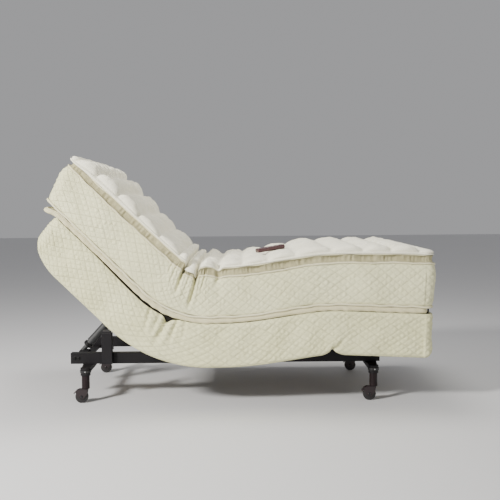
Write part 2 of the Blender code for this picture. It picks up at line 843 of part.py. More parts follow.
def actuator(name, pivot, angle, reach, tube_end, rod_tail, rod_radius):
    """A pivoted motor housing with a bored tube. The frame it returns is the rod's outer end."""
    frame = frame_at(name + "_pivot", (pivot[0], 0.0, pivot[1]), rotated(angle))
    eye = bar(name + "_motor", (0, -0.0155, 0), (0, 0.0155, 0), 0.0115, GREY_PLASTIC, frame, 16)
    stub = bar(name + "_stub", (0.004, 0, 0), (0.050, 0, 0), 0.0120, GREY_PLASTIC, frame, 18)
    collar = bar(name + "_collar", (0.042, 0, 0), (0.076, 0, 0), 0.0175, GREY_PLASTIC, frame, 20)
    tube = bar(name + "_tube", (0.074, 0, 0), (tube_end, 0, 0), 0.0215, GREY_PLASTIC, frame, 20)
    low = (0.084, -0.012, -0.0190)
    high = (0.134, 0.076, 0.0190)
    gearbox = box(name + "_gearbox", low, high, GREY_PLASTIC, frame, 0.003)
    can = bar(name + "_can", (0.130, 0.050, 0), (0.225, 0.050, 0), 0.0230, GREY_PLASTIC, frame, 20)
    weld(eye, stub, collar, tube, gearbox, can)
    bore_radius = rod_radius + 0.0006
    bore = bar(name + "_bore", (0.018, 0, 0), (tube_end + 0.02, 0, 0), bore_radius, GREY_PLASTIC, frame, 16)
    start = (0, -0.03, 0)
    end = (0, 0.03, 0)
    pin_hole = bar(name + "_pin_hole", start, end, PIN_HOLE_RADIUS, GREY_PLASTIC, frame, 12)
    cut(eye, bore, pin_hole)
    rod_frame = frame_at(name + "_rod_end", (reach, 0.0, 0.0), parent=frame)
    rod = bar(name + "_rod", (-rod_tail, 0, 0), (-0.010, 0, 0), rod_radius, BRIGHT, rod_frame, 16)
    return rod, rod_frame


def head_actuator():
    rod, rod_frame = actuator(
        "head_actuator", HEAD_PIVOT, HEAD_ACTUATOR_ANGLE, HEAD_ACTUATOR_REACH, 0.252, 0.2515, 0.0080
    )
    roller = bar("head_roller", (0, -0.030, 0), (0, 0.030, 0), 0.0165, BRIGHT, rod_frame, 24)
    weld(rod, roller)


def leg_actuator():
    x, z = lift_point(THIGH_X, PIVOT_Z, THIGH_ANGLE, *LEG_LIFT_POINT)
    across = x - LEG_PIVOT[0]
    up = z - LEG_PIVOT[1]
    angle = math.degrees(math.atan2(up, across))
    reach = math.hypot(across, up)
    rod, rod_frame = actuator("leg_actuator", LEG_PIVOT, angle, reach, 0.360, 0.180, 0.0100)
    eye = bar("leg_rod_eye", (0, -0.0090, 0), (0, 0.0090, 0), 0.0165, BRIGHT, rod_frame, 24)
    weld(rod, eye)
    cut(rod, bar("leg_rod_hole", (0, -0.03, 0), (0, 0.03, 0), 0.0115, BRIGHT, rod_frame, 16))


def foot_link():
    """Two arms on a torque tube. They steer the foot section as the knees rise."""
    knee_x, knee_z = lift_point(THIGH_X, PIVOT_Z, THIGH_ANGLE, THIGH_LENGTH, 0.0)
    x, z = lift_point(knee_x, knee_z, THIGH_ANGLE - KNEE_BEND, *LINK_POINT)
    across = x - LINK_PIVOT[0]
    up = z - LINK_PIVOT[1]
    length = math.hypot(across, up)
    slope = math.degrees(math.atan2(up, across))
    frame = frame_at("foot_link_pivot", (LINK_PIVOT[0], 0, LINK_PIVOT[1]), rotated(slope))
    tube = bar("foot_link", (0, -0.2185, 0), (0, 0.2185, 0), 0.0125, STEEL, frame, 16)
    arm = [
        (-0.012, -0.011),
        (length, -0.0150),
        (length + 0.013, -0.0080),
        (length + 0.013, 0.0080),
        (length, 0.0150),
        (-0.012, 0.011),
    ]
    for side in (-1, 1):
        y = side * 0.177
        weld(tube, plate(f"link_arm_{side}", arm, y - 0.005, y + 0.005, STEEL, frame))
        start = (0, side * 0.210, 0)
        end = (0, side * 0.236, 0)
        weld(tube, bar(f"link_stub_{side}", start, end, PIN_RADIUS, STEEL, frame, 12))
    cut(tube, bar("link_eye_hole", (length, -0.3, 0), (length, 0.3, 0), 0.0090, STEEL, frame, 16))


# ---------------------------------------------------------------- handset, lying on the mattress
def handset():
    length, width, depth = HANDSET
    u, y = HANDSET_PLACE
    rest = frame_at(
        "handset_origin",
        (u, y, MATTRESS_HIGH + 0.0008 + depth / 2),
        (0.0, 0.0, math.radians(HANDSET_YAW)),
        THIGH,
    )
    corner = (length / 2, width / 2, depth / 2)
    shell = box("handset", [-value for value in corner], corner, HANDSET_PLASTIC, rest)
    rounding = shell.modifiers.new("rounding", "BEVEL")
    rounding.width = 0.007
    rounding.segments = 3
    top = depth / 2
    for number, (x, side) in enumerate(BUTTON_PLACES, start=1):
        socket = bar(
            f"button_socket_{number}",
            (x, side, top - BUTTON_TRAVEL - 0.0035),
            (x, side, top + 0.01),
            0.0064,
            HANDSET_PLASTIC,
            rest,
            16,
        )
        cut(shell, socket)
        button = turned(
            f"handset_button_{number}",
            [(0.0, 0.0020), (0.0045, 0.0020), (0.0060, 0.0010), (0.0060, -0.0030), (0.0, -0.0030)],
            BUTTON_RUBBER,
            rest,
            16,
        )
        button.location = (x, side, top)


base_sections()
mattress_blocks()
back_section()
seat_section()
thigh_section()
foot_section()
mattress_retainer()
under_frame()
control_box()
legs_and_casters()
head_actuator()
leg_actuator()
foot_link()
handset()
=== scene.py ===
"""How the adjustable bed looks: quilted base cover, pillow-top mattress, painted steel, plywood, casters and
handset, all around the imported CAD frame.

The soft pieces are made in bed space: s runs along the bed from the hip, y across it, and n up from the
base's top. bend() then lays that straight bed along the raised sections."""

import json
from collections import namedtuple
from functools import partial
from math import cos, hypot, inf, log, pi, radians, sin, sqrt, tan, tau

import bmesh
import bpy
import numpy as np
from mathutils import Matrix, Vector


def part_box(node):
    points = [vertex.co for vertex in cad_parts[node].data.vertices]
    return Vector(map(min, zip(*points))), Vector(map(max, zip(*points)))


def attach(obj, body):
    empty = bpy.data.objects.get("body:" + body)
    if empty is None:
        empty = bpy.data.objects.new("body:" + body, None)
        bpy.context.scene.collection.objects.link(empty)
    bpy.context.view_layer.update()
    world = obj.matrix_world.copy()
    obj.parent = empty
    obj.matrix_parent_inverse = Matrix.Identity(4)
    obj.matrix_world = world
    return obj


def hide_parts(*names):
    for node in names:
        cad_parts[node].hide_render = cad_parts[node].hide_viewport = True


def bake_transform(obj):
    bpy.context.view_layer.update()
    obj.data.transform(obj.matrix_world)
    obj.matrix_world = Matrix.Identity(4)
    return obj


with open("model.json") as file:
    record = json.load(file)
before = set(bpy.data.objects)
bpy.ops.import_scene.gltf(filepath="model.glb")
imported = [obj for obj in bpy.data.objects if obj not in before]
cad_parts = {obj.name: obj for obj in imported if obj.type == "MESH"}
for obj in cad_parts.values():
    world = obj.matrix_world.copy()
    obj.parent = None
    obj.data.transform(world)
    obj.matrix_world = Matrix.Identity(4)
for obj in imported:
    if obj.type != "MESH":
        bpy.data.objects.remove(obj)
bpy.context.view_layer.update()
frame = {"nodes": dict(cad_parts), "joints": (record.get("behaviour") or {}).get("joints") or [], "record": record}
NODES = frame["nodes"]
SCENE = bpy.context.scene
JOINTS = {joint["name"]: joint for joint in frame["joints"]}

# ---- sizes of the soft pieces, in metres
HALF_WIDTH = 0.4825
BASE_TOP = 0.052
KNEE_BEND = radians(11.0)
BEND_RADII = (0.464, 1.5, 1.0)
CORNER_RADIUS = 0.05
SKIRT_CORNER = 0.045
PAD_CORNER = 0.035

MATTRESS_UNDER = 0.0185
BINDING_HEIGHT = 0.021
BINDING_RADIUS = 0.0056
PIPING_INSET = 0.006
BORDER_LOW = 0.0265
BORDER_HIGH = 0.2015
PIPING_HEIGHT = 0.2055
PIPING_RADIUS = 0.0046
GUSSET_LOW = 0.209
GUSSET_HIGH = 0.235
PILLOW_LOW = 0.237
PILLOW_INSET = 0.001
RIM_INSET = 0.008
RIM_RADIUS = 0.0035
HANDSET_REST = 0.2892
TUFT_PITCH = 0.135
TUFT_START = -0.036
BAND_LOW = -0.0095
BAND_HIGH = 0.013
PAD_INSET = 0.002
PAD_EDGE = 0.0085
SEAM_INSET = 0.0068
SEAM_RADIUS = 0.0021
SKIRT_HIGH = -0.0115
SKIRT_LOW = -0.222
SKIRT_THICKNESS = 0.022
# How far down the near-black strip round the deck reaches: painted shadow in the crevice under the pad.
PAINTED_SHADOW_WIDTH = 0.056
# How far from each end the hem curves up, and by how much.
HEAD_CURVE = (0.2, 0.095)
FOOT_CURVE = (0.045, 0.03)

DIAMOND_LENGTH = 0.0767
DIAMOND_HEIGHT = 0.0537
STITCH_GAP = 1 / hypot(1 / DIAMOND_LENGTH, 1 / DIAMOND_HEIGHT)
QUILT_DEPTH = 0.0027
PUFF_VARIATION = 0.25
SAG_DEPTH = 0.0028
CRUMPLE_DEPTH = 0.0004
STEP = DIAMOND_LENGTH / 20
RISE = DIAMOND_HEIGHT / 16
CORD_STEP = 0.008
FIELD_STEP = 0.0068
# Grid step of the near-black strip round the deck, which is painted shadow.
PAINTED_SHADOW_STEP = 0.01
MERGE_DISTANCE = 2e-5

DECK_HALF_WIDTH = float(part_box("seat_deck")[1].y) + 0.0012

# Distances along a section from its hinge to where each soft layer ends.
BORDER_HEAD = 0.838
BORDER_FOOT = 0.521
PILLOW_HEAD = 0.897
PILLOW_FOOT = 0.512
BAND_HEAD = 0.822
BAND_FOOT = 0.489
SKIRT_HEAD = 0.757
SKIRT_FOOT = 0.525
UNDER_HEAD = 0.828
UNDER_FOOT = 0.51

# Where the soft pieces are cut, clear of the hinges: a place along x, and one along the thigh section.
SEAT_CUT_X = -0.098
THIGH_CUT_U = 0.2165

# How far from the middle of the bed the folds on its sides start, and where they are at full depth.
SIDE_FADE = (0.38, 0.47)

SIMULATED_FRAMES = 20
STUFFING = {"quality": 5, "mass": 0.15, "tension_stiffness": 12, "compression_stiffness": 6}
STUFFING |= {"shear_stiffness": 3, "bending_stiffness": 0.02, "air_damping": 2.0, "use_pressure": True}


# ---- the line of the base's top, and bending
def pivot(name):
    x, _, z = JOINTS[name]["pos_m"]
    return np.array([x, z])


def along(slope):
    return np.array([cos(slope), sin(slope)])


def upward(slope):
    return np.array([-sin(slope), cos(slope)])


def crossing(first, first_slope, second, second_slope):
    """Where two lines, each through a point at a slope, meet."""
    sides = np.column_stack([along(first_slope), -along(second_slope)])
    reach = np.linalg.solve(sides, second - first)[0]
    return first + reach * along(first_slope)


HIP = pivot("back_hinge")
THIGH = pivot("thigh_hinge")
KNEE = pivot("foot_hinge")
BACK_SLOPE = radians(JOINTS["back_hinge"]["range_deg"][0])
THIGH_SLOPE = -radians(JOINTS["thigh_hinge"]["range_deg"][0])
FOOT_SLOPE = THIGH_SLOPE - KNEE_BEND
SLOPES = (BACK_SLOPE, 0.0, THIGH_SLOPE, FOOT_SLOPE)
TOPS = [point + BASE_TOP * upward(slope) for point, slope in zip((HIP, HIP, THIGH, KNEE), SLOPES)]
CORNERS = [crossing(TOPS[i], SLOPES[i], TOPS[i + 1], SLOPES[i + 1]) for i in range(3)]
TURNS = [SLOPES[i + 1] - SLOPES[i] for i in range(3)]
ARC_HALVES = [radius * abs(turn) / 2 for radius, turn in zip(BEND_RADII, TURNS)]
SLACKS = [r * tan(abs(t) / 2) - h for r, t, h in zip(BEND_RADII, TURNS, ARC_HALVES)]
SPANS = [float(np.linalg.norm(CORNERS[i + 1] - CORNERS[i])) - SLACKS[i] - SLACKS[i + 1] for i in range(2)]
STATION_STEP = 0.001
HIP_S = 0.0
THIGH_S = SPANS[0]
KNEE_S = SPANS[0] + SPANS[1]


def line_table():
    """Stations all along the bed, with the base top's slope and place there."""
    stations = np.arange(-1.2, 1.6, STATION_STEP)
    bends = zip((HIP_S, THIGH_S, KNEE_S), ARC_HALVES)
    knots = [centre + way * half for centre, half in bends for way in (-1, 1)]
    slope = np.interp(stations, knots, np.repeat(SLOPES, 2)[1:-1])
    middle = (slope[1:] + slope[:-1]) / 2
    mid_slope = (SLOPES[0] + SLOPES[1]) / 2
    lift = BEND_RADII[0] / cos(TURNS[0] / 2) - BEND_RADII[0]
    anchor = CORNERS[0] + lift * upward(mid_slope)
    places = []
    for rate, held in zip((np.cos(middle), np.sin(middle)), anchor):
        place = np.concatenate([[0.0], np.cumsum(rate * STATION_STEP)])
        places.append(place + (held - np.interp(HIP_S, stations, place)))
    return stations, slope, *places


STATIONS, STATION_SLOPE, STATION_X, STATION_Z = line_table()


def bend(points):
    """Bed space to the row frame."""
    s, y, n = points[:, 0], points[:, 1], points[:, 2]
    slope = np.interp(s, STATIONS, STATION_SLOPE)
    x = np.interp(s, STATIONS, STATION_X) - n * np.sin(slope)
    z = np.interp(s, STATIONS, STATION_Z) + n * np.cos(slope)
    return np.column_stack([x, y, z])


def station_past(hinge, centre, bend_number, slope, u, way=1):
    """The station at a distance u from a hinge's pivot, along the section past it."""
    corner = way * float((CORNERS[bend_number] - hinge) @ along(slope))
    return centre + way * (u - corner - SLACKS[bend_number])


back_station = partial(station_past, HIP, HIP_S, 0, BACK_SLOPE, way=-1)
thigh_station = partial(station_past, THIGH, THIGH_S, 1, THIGH_SLOPE)
foot_station = partial(station_past, KNEE, KNEE_S, 2, FOOT_SLOPE)
SEAT_CUT = float(np.interp(SEAT_CUT_X, STATION_X, STATIONS))
THIGH_CUT = thigh_station(THIGH_CUT_U)


# ---- smooth helpers
def ease(value, low, high):
    t = np.clip((value - low) / (high - low), 0, 1)
    return t * t * (3 - 2 * t)


def bell(value, centre, width):
    return np.exp(-(((value - centre) / width) ** 2))


def ripples(seed, count, shortest, longest):
    """A smooth random field over the plane, of waves between two wavelengths. It is about -1 to 1."""
    draw = np.random.default_rng(seed)
    heading = draw.uniform(0, tau, count)
    wave = tau / np.exp(draw.uniform(log(shortest), log(longest), count))
    phase = draw.uniform(0, tau, count)
    size = 1.7 / sqrt(count)

    def field(a, b):
        total = np.zeros(np.broadcast(a, b).shape)
        for pace, way, start in zip(wave, heading, phase):
            total += np.cos(pace * (a * cos(way) + b * sin(way)) + start)
        return total * size

    return field


# ---- meshes in bed space
class Cloth(namedtuple("Cloth", "points faces flat")):
    """Points, four-sided faces and a flat cloth coordinate for each face corner."""

    @staticmethod
    def grid(points, flat, closed=False):
        """points is rows x columns x 3. A closed grid joins its last column to its first."""
        rows, columns = points.shape[:2]
        index = np.arange(rows * columns).reshape(rows, columns)
        if closed:
            index = np.concatenate([index, index[:, :1]], axis=1)

        def corners(grid):
            return grid[:-1, :-1], grid[:-1, 1:], grid[1:, 1:], grid[1:, :-1]

        faces = np.stack([corner.ravel() for corner in corners(index)], axis=1)
        uv = np.stack([corner.reshape(-1, 2) for corner in corners(flat)], axis=1)
        return Cloth(points.reshape(-1, 3), faces, uv)

    def flipped(self):
        return Cloth(self.points, self.faces[:, ::-1], self.flat[:, ::-1])

    def joined(self, *others):
        """One cloth of several, with points at the same place made one."""
        points, faces, flat = zip(self, *others)
        starts = np.cumsum([0] + [len(part) for part in points])
        faces = np.concatenate([part + start for part, start in zip(faces, starts)])
        points = np.concatenate(points)
        keys = np.round(points / MERGE_DISTANCE).astype(np.int64)
        _, first, back = np.unique(keys, axis=0, return_index=True, return_inverse=True)
        return Cloth(points[first], back.reshape(-1)[faces], np.concatenate(flat))


# A closed outline in s and y: its points, outward normals and running length, with one extra at the end.
Line = namedtuple("Line", "places normals running")


def outline(low, high, half_width, radius, step):
    """A rounded rectangle, starting at a corner of the foot end."""
    side_y = half_width - radius
    lengths = (2 * side_y, high - low - 2 * radius)
    counts = [max(2, round(length / step)) for length in lengths]
    turn = np.linspace(0, pi / 2, max(4, round(radius * pi / 2 / step)), endpoint=False)
    corner_s = (high - radius, high - radius, low + radius, low + radius)
    corners = np.column_stack([corner_s, (-side_y, side_y, side_y, -side_y)])
    places, normals = [], []
    for side, corner in enumerate(corners):
        start = (side - 1) * pi / 2
        normals.append(np.column_stack([np.cos(start + turn), np.sin(start + turn)]))
        places.append(corner + radius * normals[-1])
        end = start + pi / 2
        normal = np.array([cos(end), sin(end)])
        count = counts[side % 2]
        share = np.linspace(0, 1, count, endpoint=False)[:, None]
        places.append(corner + radius * normal + (corners[(side + 1) % 4] - corner) * share)
        normals.append(np.repeat(normal[None], count, axis=0))
    places = np.concatenate(places)
    edges = np.linalg.norm(np.roll(places, -1, axis=0) - places, axis=1)
    return Line(places, np.concatenate(normals), np.concatenate([[0.0], np.cumsum(edges)]))


def wall(line, profile, across):
    """A closed wall around an outline, from each row's inset and height and its cloth coordinate across."""
    rows = np.empty((len(profile), len(line.places), 3))
    for row, (inset, height) in zip(rows, profile):
        row[:, :2] = line.places - line.normals * np.reshape(inset, (-1, 1))
        row[:, 2] = height
    flat = np.zeros((len(rows), len(line.running), 2))
    flat[:, :, 0] = line.running
    flat[:, :, 1] = np.reshape(across, (-1, 1))
    return Cloth.grid(rows, flat, closed=True)


def profile_length(insets, heights):
    """The running length along a profile."""
    return np.concatenate([[0.0], np.cumsum(np.hypot(np.diff(insets), np.diff(heights)))])


def cord_wall(line, inset, height, radius, sides=8):
    """A piping or tape: a round wall that closes on itself."""
    turns = np.linspace(0, tau, sides + 1)
    profile = [(inset - radius * sin(turn), height - radius * cos(turn)) for turn in turns]
    return wall(line, profile, radius * turns)


# ---- stitched padding
class Padding(namedtuple("Padding", "length height rows")):
    """One repeat of stitched padding, as a grid of how far it stands out, from 0 on a stitch to about 1."""

    def at(self, a, b):
        """The height at any place of the endlessly repeated pattern."""
        count_b, count_a = self.rows.shape
        column = (a / self.length % 1.0) * count_a
        row = (b / self.height % 1.0) * count_b
        left = np.floor(column).astype(int)
        below = np.floor(row).astype(int)
        height = 0.0
        for step_b, step_a in np.ndindex(2, 2):
            weight = (1 - np.abs(row - below - step_b)) * (1 - np.abs(column - left - step_a))
            height = height + weight * self.rows[(below + step_b) % count_b, (left + step_a) % count_a]
        return height


def new_object(name, data):
    made = bpy.data.objects.new(name, data)
    SCENE.collection.objects.link(made)
    return made


def blown_up(points, faces, hold, pressure, slack):
    """The points after a cloth simulation: held where hold is 1, and pushed out by pressure elsewhere."""
    mesh = bpy.data.meshes.new("stuffing")
    mesh.from_pydata(points.tolist(), [], faces.tolist())
    piece = new_object("stuffing", mesh)
    group = piece.vertex_groups.new(name="hold")
    levels = np.round(hold * 10).astype(int)
    for level in range(1, 11):
        group.add(np.nonzero(levels == level)[0].tolist(), level / 10, "REPLACE")
    cloth = piece.modifiers.new("cloth", "CLOTH")
    settings = cloth.settings
    for name, value in STUFFING.items():
        setattr(settings, name, value)
    settings.uniform_pressure_force = pressure
    settings.shrink_min = -slack
    settings.vertex_group_mass = "hold"
    settings.effector_weights.gravity = 0.0
    cloth.point_cache.frame_start = 1
    cloth.point_cache.frame_end = SIMULATED_FRAMES
    for number in range(1, SIMULATED_FRAMES + 1):
        SCENE.frame_set(number)
    shown = piece.evaluated_get(bpy.context.evaluated_depsgraph_get())
    after = np.empty(len(points) * 3)
    shown.data.vertices.foreach_get("co", after)
    bpy.data.objects.remove(piece, do_unlink=True)
    SCENE.frame_set(1)
    return after.reshape(-1, 3)


def padding(length, height, step, seam, pressure, slack, cap):
    """One repeat of padding, blown up between seams. seam(a, b) is how firmly it's held down, up to 1."""
    margin = 8
    columns = round(length / step)
    rows = round(height / step)
    a_line = np.arange(columns + margin) * length / columns
    b_line = np.arange(rows + margin) * height / rows
    a, b = np.meshgrid(a_line, b_line)
    flat = np.dstack([a, b, np.zeros_like(a)])
    cloth = Cloth.grid(flat, flat[:, :, :2])
    after = blown_up(cloth.points, cloth.faces, seam(a, b).ravel(), pressure, slack)
    lift = np.clip(after[:, 2].reshape(a.shape), 0.0, cap)
    share = np.linspace(0, 1, margin)
    lift[:, :margin] = lift[:, :margin] * share + lift[:, columns:] * (1 - share)
    lift[:margin] = lift[:margin] * share[:, None] + lift[rows:] * (1 - share[:, None])
    lift = lift[:rows, :columns]
    return Padding(length, height, lift / np.percentile(lift, 96))


def diamond_seam(a, b):
    """1 on the firm slanting stitch lines, and less on the lighter ones halfway between them."""
    along_a, along_b = a / DIAMOND_LENGTH, b / DIAMOND_HEIGHT
    slants = pi * np.array([along_a + along_b, along_a - along_b])
    firm = np.abs(np.sin(slants)).min(axis=0)
    light = np.abs(np.cos(slants)).min(axis=0)
    return np.maximum(np.clip(1 - firm / 0.22, 0, 1), 0.45 * np.clip(1 - light / 0.18, 0, 1))


def tuft_distances(a, b):
    return np.abs(np.sin(pi * a / TUFT_PITCH)), np.abs(np.sin(pi * b / TUFT_PITCH))


def tuft_seam(a, b):
    row, column = tuft_distances(a, b)
    tuft = np.exp(-(row**2 + column**2) / 0.05)
    across = 0.8 * np.clip(1 - row / 0.16, 0, 1)
    lengthwise = 0.25 * np.clip(1 - column / 0.14, 0, 1)
    return np.maximum.reduce([tuft, across, lengthwise])


QUILTING = padding(
    DIAMOND_LENGTH * 3, DIAMOND_HEIGHT * 4, 0.0031, diamond_seam, pressure=6.0, slack=0.05, cap=0.012
)
TUFTING = padding(TUFT_PITCH * 4, TUFT_PITCH * 3, 0.0065, tuft_seam, pressure=4.0, slack=0.06, cap=0.03)


# ---- shape changes in bed space
def creases(s, n, folds, high, fade_below, fade_above):
    """How far in the folds go. Each runs along its own line, from the height high down to its lowest n."""
    total = np.zeros_like(s)
    for top, bottom, lowest, width, depth in folds:
        line = top + (bottom - top) * np.clip((high - n) / (high - lowest), 0, 1)
        ridge = bell(s, line + 1.9 * width, width) + bell(s, line - 1.9 * width, width)
        strength = ease(n, lowest - fade_below, lowest + fade_above)
        total += depth * (bell(s, line, width) - 0.35 * ridge) * strength
    return total


def lean_head(points, low, reach, amount):
    """Leans the head end out by amount(n), over the last reach of the bed."""
    s, n = points[:, 0], points[:, 2]
    points[:, 0] = s - amount(n) * ease(-s, -(low + reach), -low)


def mattress_head(n):
    return 0.048 * np.sin(np.clip(n / 0.215, 0, 1) * pi / 2)


def raised(s, n):
    """How much higher the mattress's top lies than at the head, past the hip and again at the foot."""
    top = 0.0095 * ease(s, -0.55, -0.05) + 0.0145 * ease(s, 0.6, 1.15)
    pillow = 0.009 * ease(s, -0.85, -0.4)
    return top * ease(n, 0.03, 0.2) + pillow * ease(n, 0.207, 0.236)


HIP_PINCHES = (
    # station, half-width, how far in, how far down
    (-0.047, 0.013, 0.02, 0.02),
    (0.074, 0.014, 0.016, 0.024),
    (0.229, 0.017, 0.012, 0.012),
)
HIP_FOLDS = (
    # station at the top, station at the bottom, lowest n, half-width, depth
    (-0.047, -0.022, 0.085, 0.01, 0.011),
    (0.076, 0.066, 0.045, 0.0105, 0.0125),
    (-0.12, -0.085, 0.11, 0.0075, 0.0045),
    (-0.165, -0.125, 0.13, 0.007, 0.0035),
    (0.02, 0.018, 0.11, 0.008, 0.0045),
    (0.15, 0.12, 0.12, 0.008, 0.005),
    (0.229, 0.2, 0.145, 0.008, 0.006),
)


def fold_mattress(points):
    """The pinches and folds that the raised back presses into the mattress at the hip."""
    s, y, n = points.T.copy()
    share = np.clip(n / 0.22, 0, 1.2)
    side = ease(np.abs(y), *SIDE_FADE)
    edge = ease(n, 0.236, 0.25) * ease(-n, -0.285, -0.262)
    droop = ease(s, -0.06, -0.02) * ease(-s, -0.09, -0.055) * edge
    sag = ease(s, -0.06, -0.03) * ease(-s, -0.1, -0.07) * ease(n, 0.15, 0.21)
    points[:, 2] += raised(s, n) - 0.034 * droop * side - 0.014 * sag * (0.3 + 0.7 * side)
    outward = np.sign(y) * side
    points[:, 1] += 0.004 * droop * outward
    crest = bell(s, 0.16, 0.04) * ease(n, 0.1, 0.21)
    points[:, 2] += 0.006 * crest * side
    for station, width, inward, down in HIP_PINCHES:
        near = bell(s, station, width)
        points[:, 1] -= inward * near * share**3 * outward
        points[:, 2] -= down * near * share**4 * (0.25 + 0.75 * side)
    points[:, 1] -= creases(s, n, HIP_FOLDS, 0.205, 0.01, 0.06) * ease(-n, -0.24, -0.2) * outward
    swell = bell(s, 0.015, 0.035) + 0.7 * bell(s, 0.15, 0.05) + 0.6 * bell(s, -0.11, 0.045)
    points[:, 1] += 0.006 * swell * ease(n, 0.05, 0.18) * outward


BASE_FOLDS = (
    # station at the top, station at the bottom, lowest n, half-width, depth
    (-0.006, -0.02, -0.15, 0.011, 0.011),
    (0.034, 0.026, -0.125, 0.008, 0.006),
    (-0.052, -0.046, -0.12, 0.008, 0.0055),
    (-0.1, -0.076, -0.125, 0.008, 0.005),
    (0.07, 0.075, -0.095, 0.008, 0.003),
)


def fold_base(points):
    """The open fold under the base's top edge at the hip, and the pucker in the hem at the knee."""
    s, y, n = points.T.copy()
    side = ease(np.abs(y), *SIDE_FADE)
    pocket = bell(s, -0.01 + 0.5 * (n - SKIRT_HIGH), 0.015) * ease(n, -0.085, -0.015)
    crevice = ease(s, -0.52, -0.2) * ease(-s, -0.06, 0.0) * ease(n, -0.062, SKIRT_HIGH)
    outward = np.sign(y) * side
    points[:, 1] -= (0.012 * pocket + 0.006 * crevice) * outward
    points[:, 2] -= (0.01 * crevice + 0.024 * pocket) * side
    points[:, 1] -= creases(s, n, BASE_FOLDS, SKIRT_HIGH, 0.03, 0.05) * outward
    hem = ease(-n, 0.14, -SKIRT_LOW)
    pucker = KNEE_S + 0.03
    points[:, 2] += (0.018 * bell(s, pucker, 0.04) + 0.01 * bell(s, pucker, 0.012)) * hem
    groove = bell(s, pucker + (n - SKIRT_LOW) * 0.9, 0.012) * ease(-n, 0.1, 0.2)
    points[:, 1] -= 0.01 * groove * outward
    outer = np.abs(y) > DECK_HALF_WIDTH
    points[outer, 1] = np.sign(y[outer]) * np.maximum(np.abs(points[outer, 1]), DECK_HALF_WIDTH)


# ---- from bed space to pieces
# The way each hinge's child lies from it, halfway between the two sections.
BACKWARD = pi + BACK_SLOPE / 2
UPWARD = THIGH_SLOPE / 2
ONWARD = THIGH_SLOPE - KNEE_BEND / 2
SECTIONS = (
    # name, first and last station, parent, child, hinge, its way, the blend's reach before and after it
    ("back", -inf, SEAT_CUT, "under_frame", "back_section", "back_hinge", BACKWARD, 0.08, 0.2),
    ("middle", SEAT_CUT, THIGH_CUT, "under_frame", "thigh_section", "thigh_hinge", UPWARD, 0.08, 0.19),
    ("foot", THIGH_CUT, inf, "thigh_section", "foot_section", "foot_hinge", ONWARD, 0.165, 0.2),
)


def point_normals(points, faces):
    corners = points[faces]
    facing = np.cross(corners[:, 2] - corners[:, 0], corners[:, 3] - corners[:, 1])
    total = np.zeros_like(points)
    for corner in range(4):
        np.add.at(total, faces[:, corner], facing)
    return total / np.maximum(np.linalg.norm(total, axis=1, keepdims=True), 1e-12)


def new_mesh(name, points, faces, flat, normals):
    """A smooth mesh with its cloth coordinate. A face with two corners at one point becomes a triangle."""
    used, faces = np.unique(faces, return_inverse=True)
    faces = faces.reshape(-1, 4)
    kept = faces != np.roll(faces, 1, axis=1)
    mesh = bpy.data.meshes.new(name)
    mesh.from_pydata(points[used].tolist(), [], [face[keep].tolist() for face, keep in zip(faces, kept)])
    layer = mesh.uv_layers.new(name="cloth")
    layer.data.foreach_set("uv", flat[kept].reshape(-1).astype(np.float32))
    mesh.shade_smooth()
    mesh.normals_split_custom_set_from_vertices(normals[used].tolist())
    return mesh


def soft_pieces(name, cloth, look, slot, fold=None):
    """Folds and bends a cloth and splits it where no hinge moves it, into one piece for each section."""
    points = cloth.points.copy()
    if fold:
        fold(points)
    points = bend(points)
    normals = point_normals(points, cloth.faces)
    station = cloth.points[cloth.faces, 0].mean(axis=1)
    made = {}
    for section, low, high, parent, child, joint, slope, before, after in SECTIONS:
        keep = (station >= low) & (station < high)
        piece_name = f"{name}_{section}"
        mesh = new_mesh(piece_name, points, cloth.faces[keep], cloth.flat[keep], normals)
        mesh.materials.append(look)
        piece = new_object(piece_name, mesh)
        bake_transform(piece)
        made[section] = piece
    return made


# ---- materials
class Nodes:
    """Short names for building a node material."""

    def __init__(self, name):
        self.material = bpy.data.materials.new(name)
        self.material.use_nodes = True
        self.tree = self.material.node_tree

    def feed(self, node, inputs):
        """Sets a node's inputs, each to a number, a tuple or another node's output. None changes nothing."""
        for name, value in inputs.items():
            socket = node.inputs[name]
            if isinstance(value, bpy.types.NodeSocket):
                self.tree.links.new(value, socket)
            elif isinstance(value, tuple) and len(value) < len(socket.default_value):
                socket.default_value = (*value, 1.0)
            elif value is not None:
                socket.default_value = value

    def add(self, kind, inputs, **settings):
        node = self.tree.nodes.new("ShaderNode" + kind)
        for key, value in settings.items():
            setattr(node, key, value)
        self.feed(node, inputs)
        return node

    def math(self, operation, first, second=None, clamp=False):
        return self.add("Math", {0: first, 1: second}, operation=operation, use_clamp=clamp).outputs[0]

    def times(self, first, second):
        return self.math("MULTIPLY", first, second)

    def noise(self, scale, detail=3.0, roughness=0.55, stretch=None):
        place = self.add("TexCoord", {}).outputs["Object"]
        if stretch:
            place = self.add("Mapping", {"Vector": place, "Scale": stretch}).outputs[0]
        inputs = {"Vector": place, "Scale": scale, "Detail": detail, "Roughness": roughness}
        return self.add("TexNoise", inputs).outputs["Fac"]

    def ramp(self, factor, *stops):
        node = self.add("ValToRGB", {"Fac": factor})
        elements = node.color_ramp.elements
        while len(elements) < len(stops):
            elements.new(0.5)
        for element, (position, color) in zip(elements, stops):
            element.position = position
            element.color = (*color, 1.0)
        return node.outputs["Color"]

    def mix(self, factor, first, second):
        return self.add("Mix", {0: factor, 6: first, 7: second}, data_type="RGBA").outputs[2]

    def spread(self, value, low, high):
        return self.add("MapRange", {"Value": value, "To Min": low, "To Max": high}).outputs[0]

    def bump(self, height, distance, strength=1.0, after=None):
        inputs = {"Height": height, "Distance": distance, "Strength": strength, "Normal": after}
        return self.add("Bump", inputs).outputs[0]

    def surface(self, color, roughness, normal=None, constants=()):
        """Feeds the shader, with its constants as (name, value), and returns the material."""
        inputs = {"Base Color": color, "Roughness": roughness, "Normal": normal}
        self.feed(self.tree.nodes["Principled BSDF"], {**inputs, **dict(constants)})
        return self.material


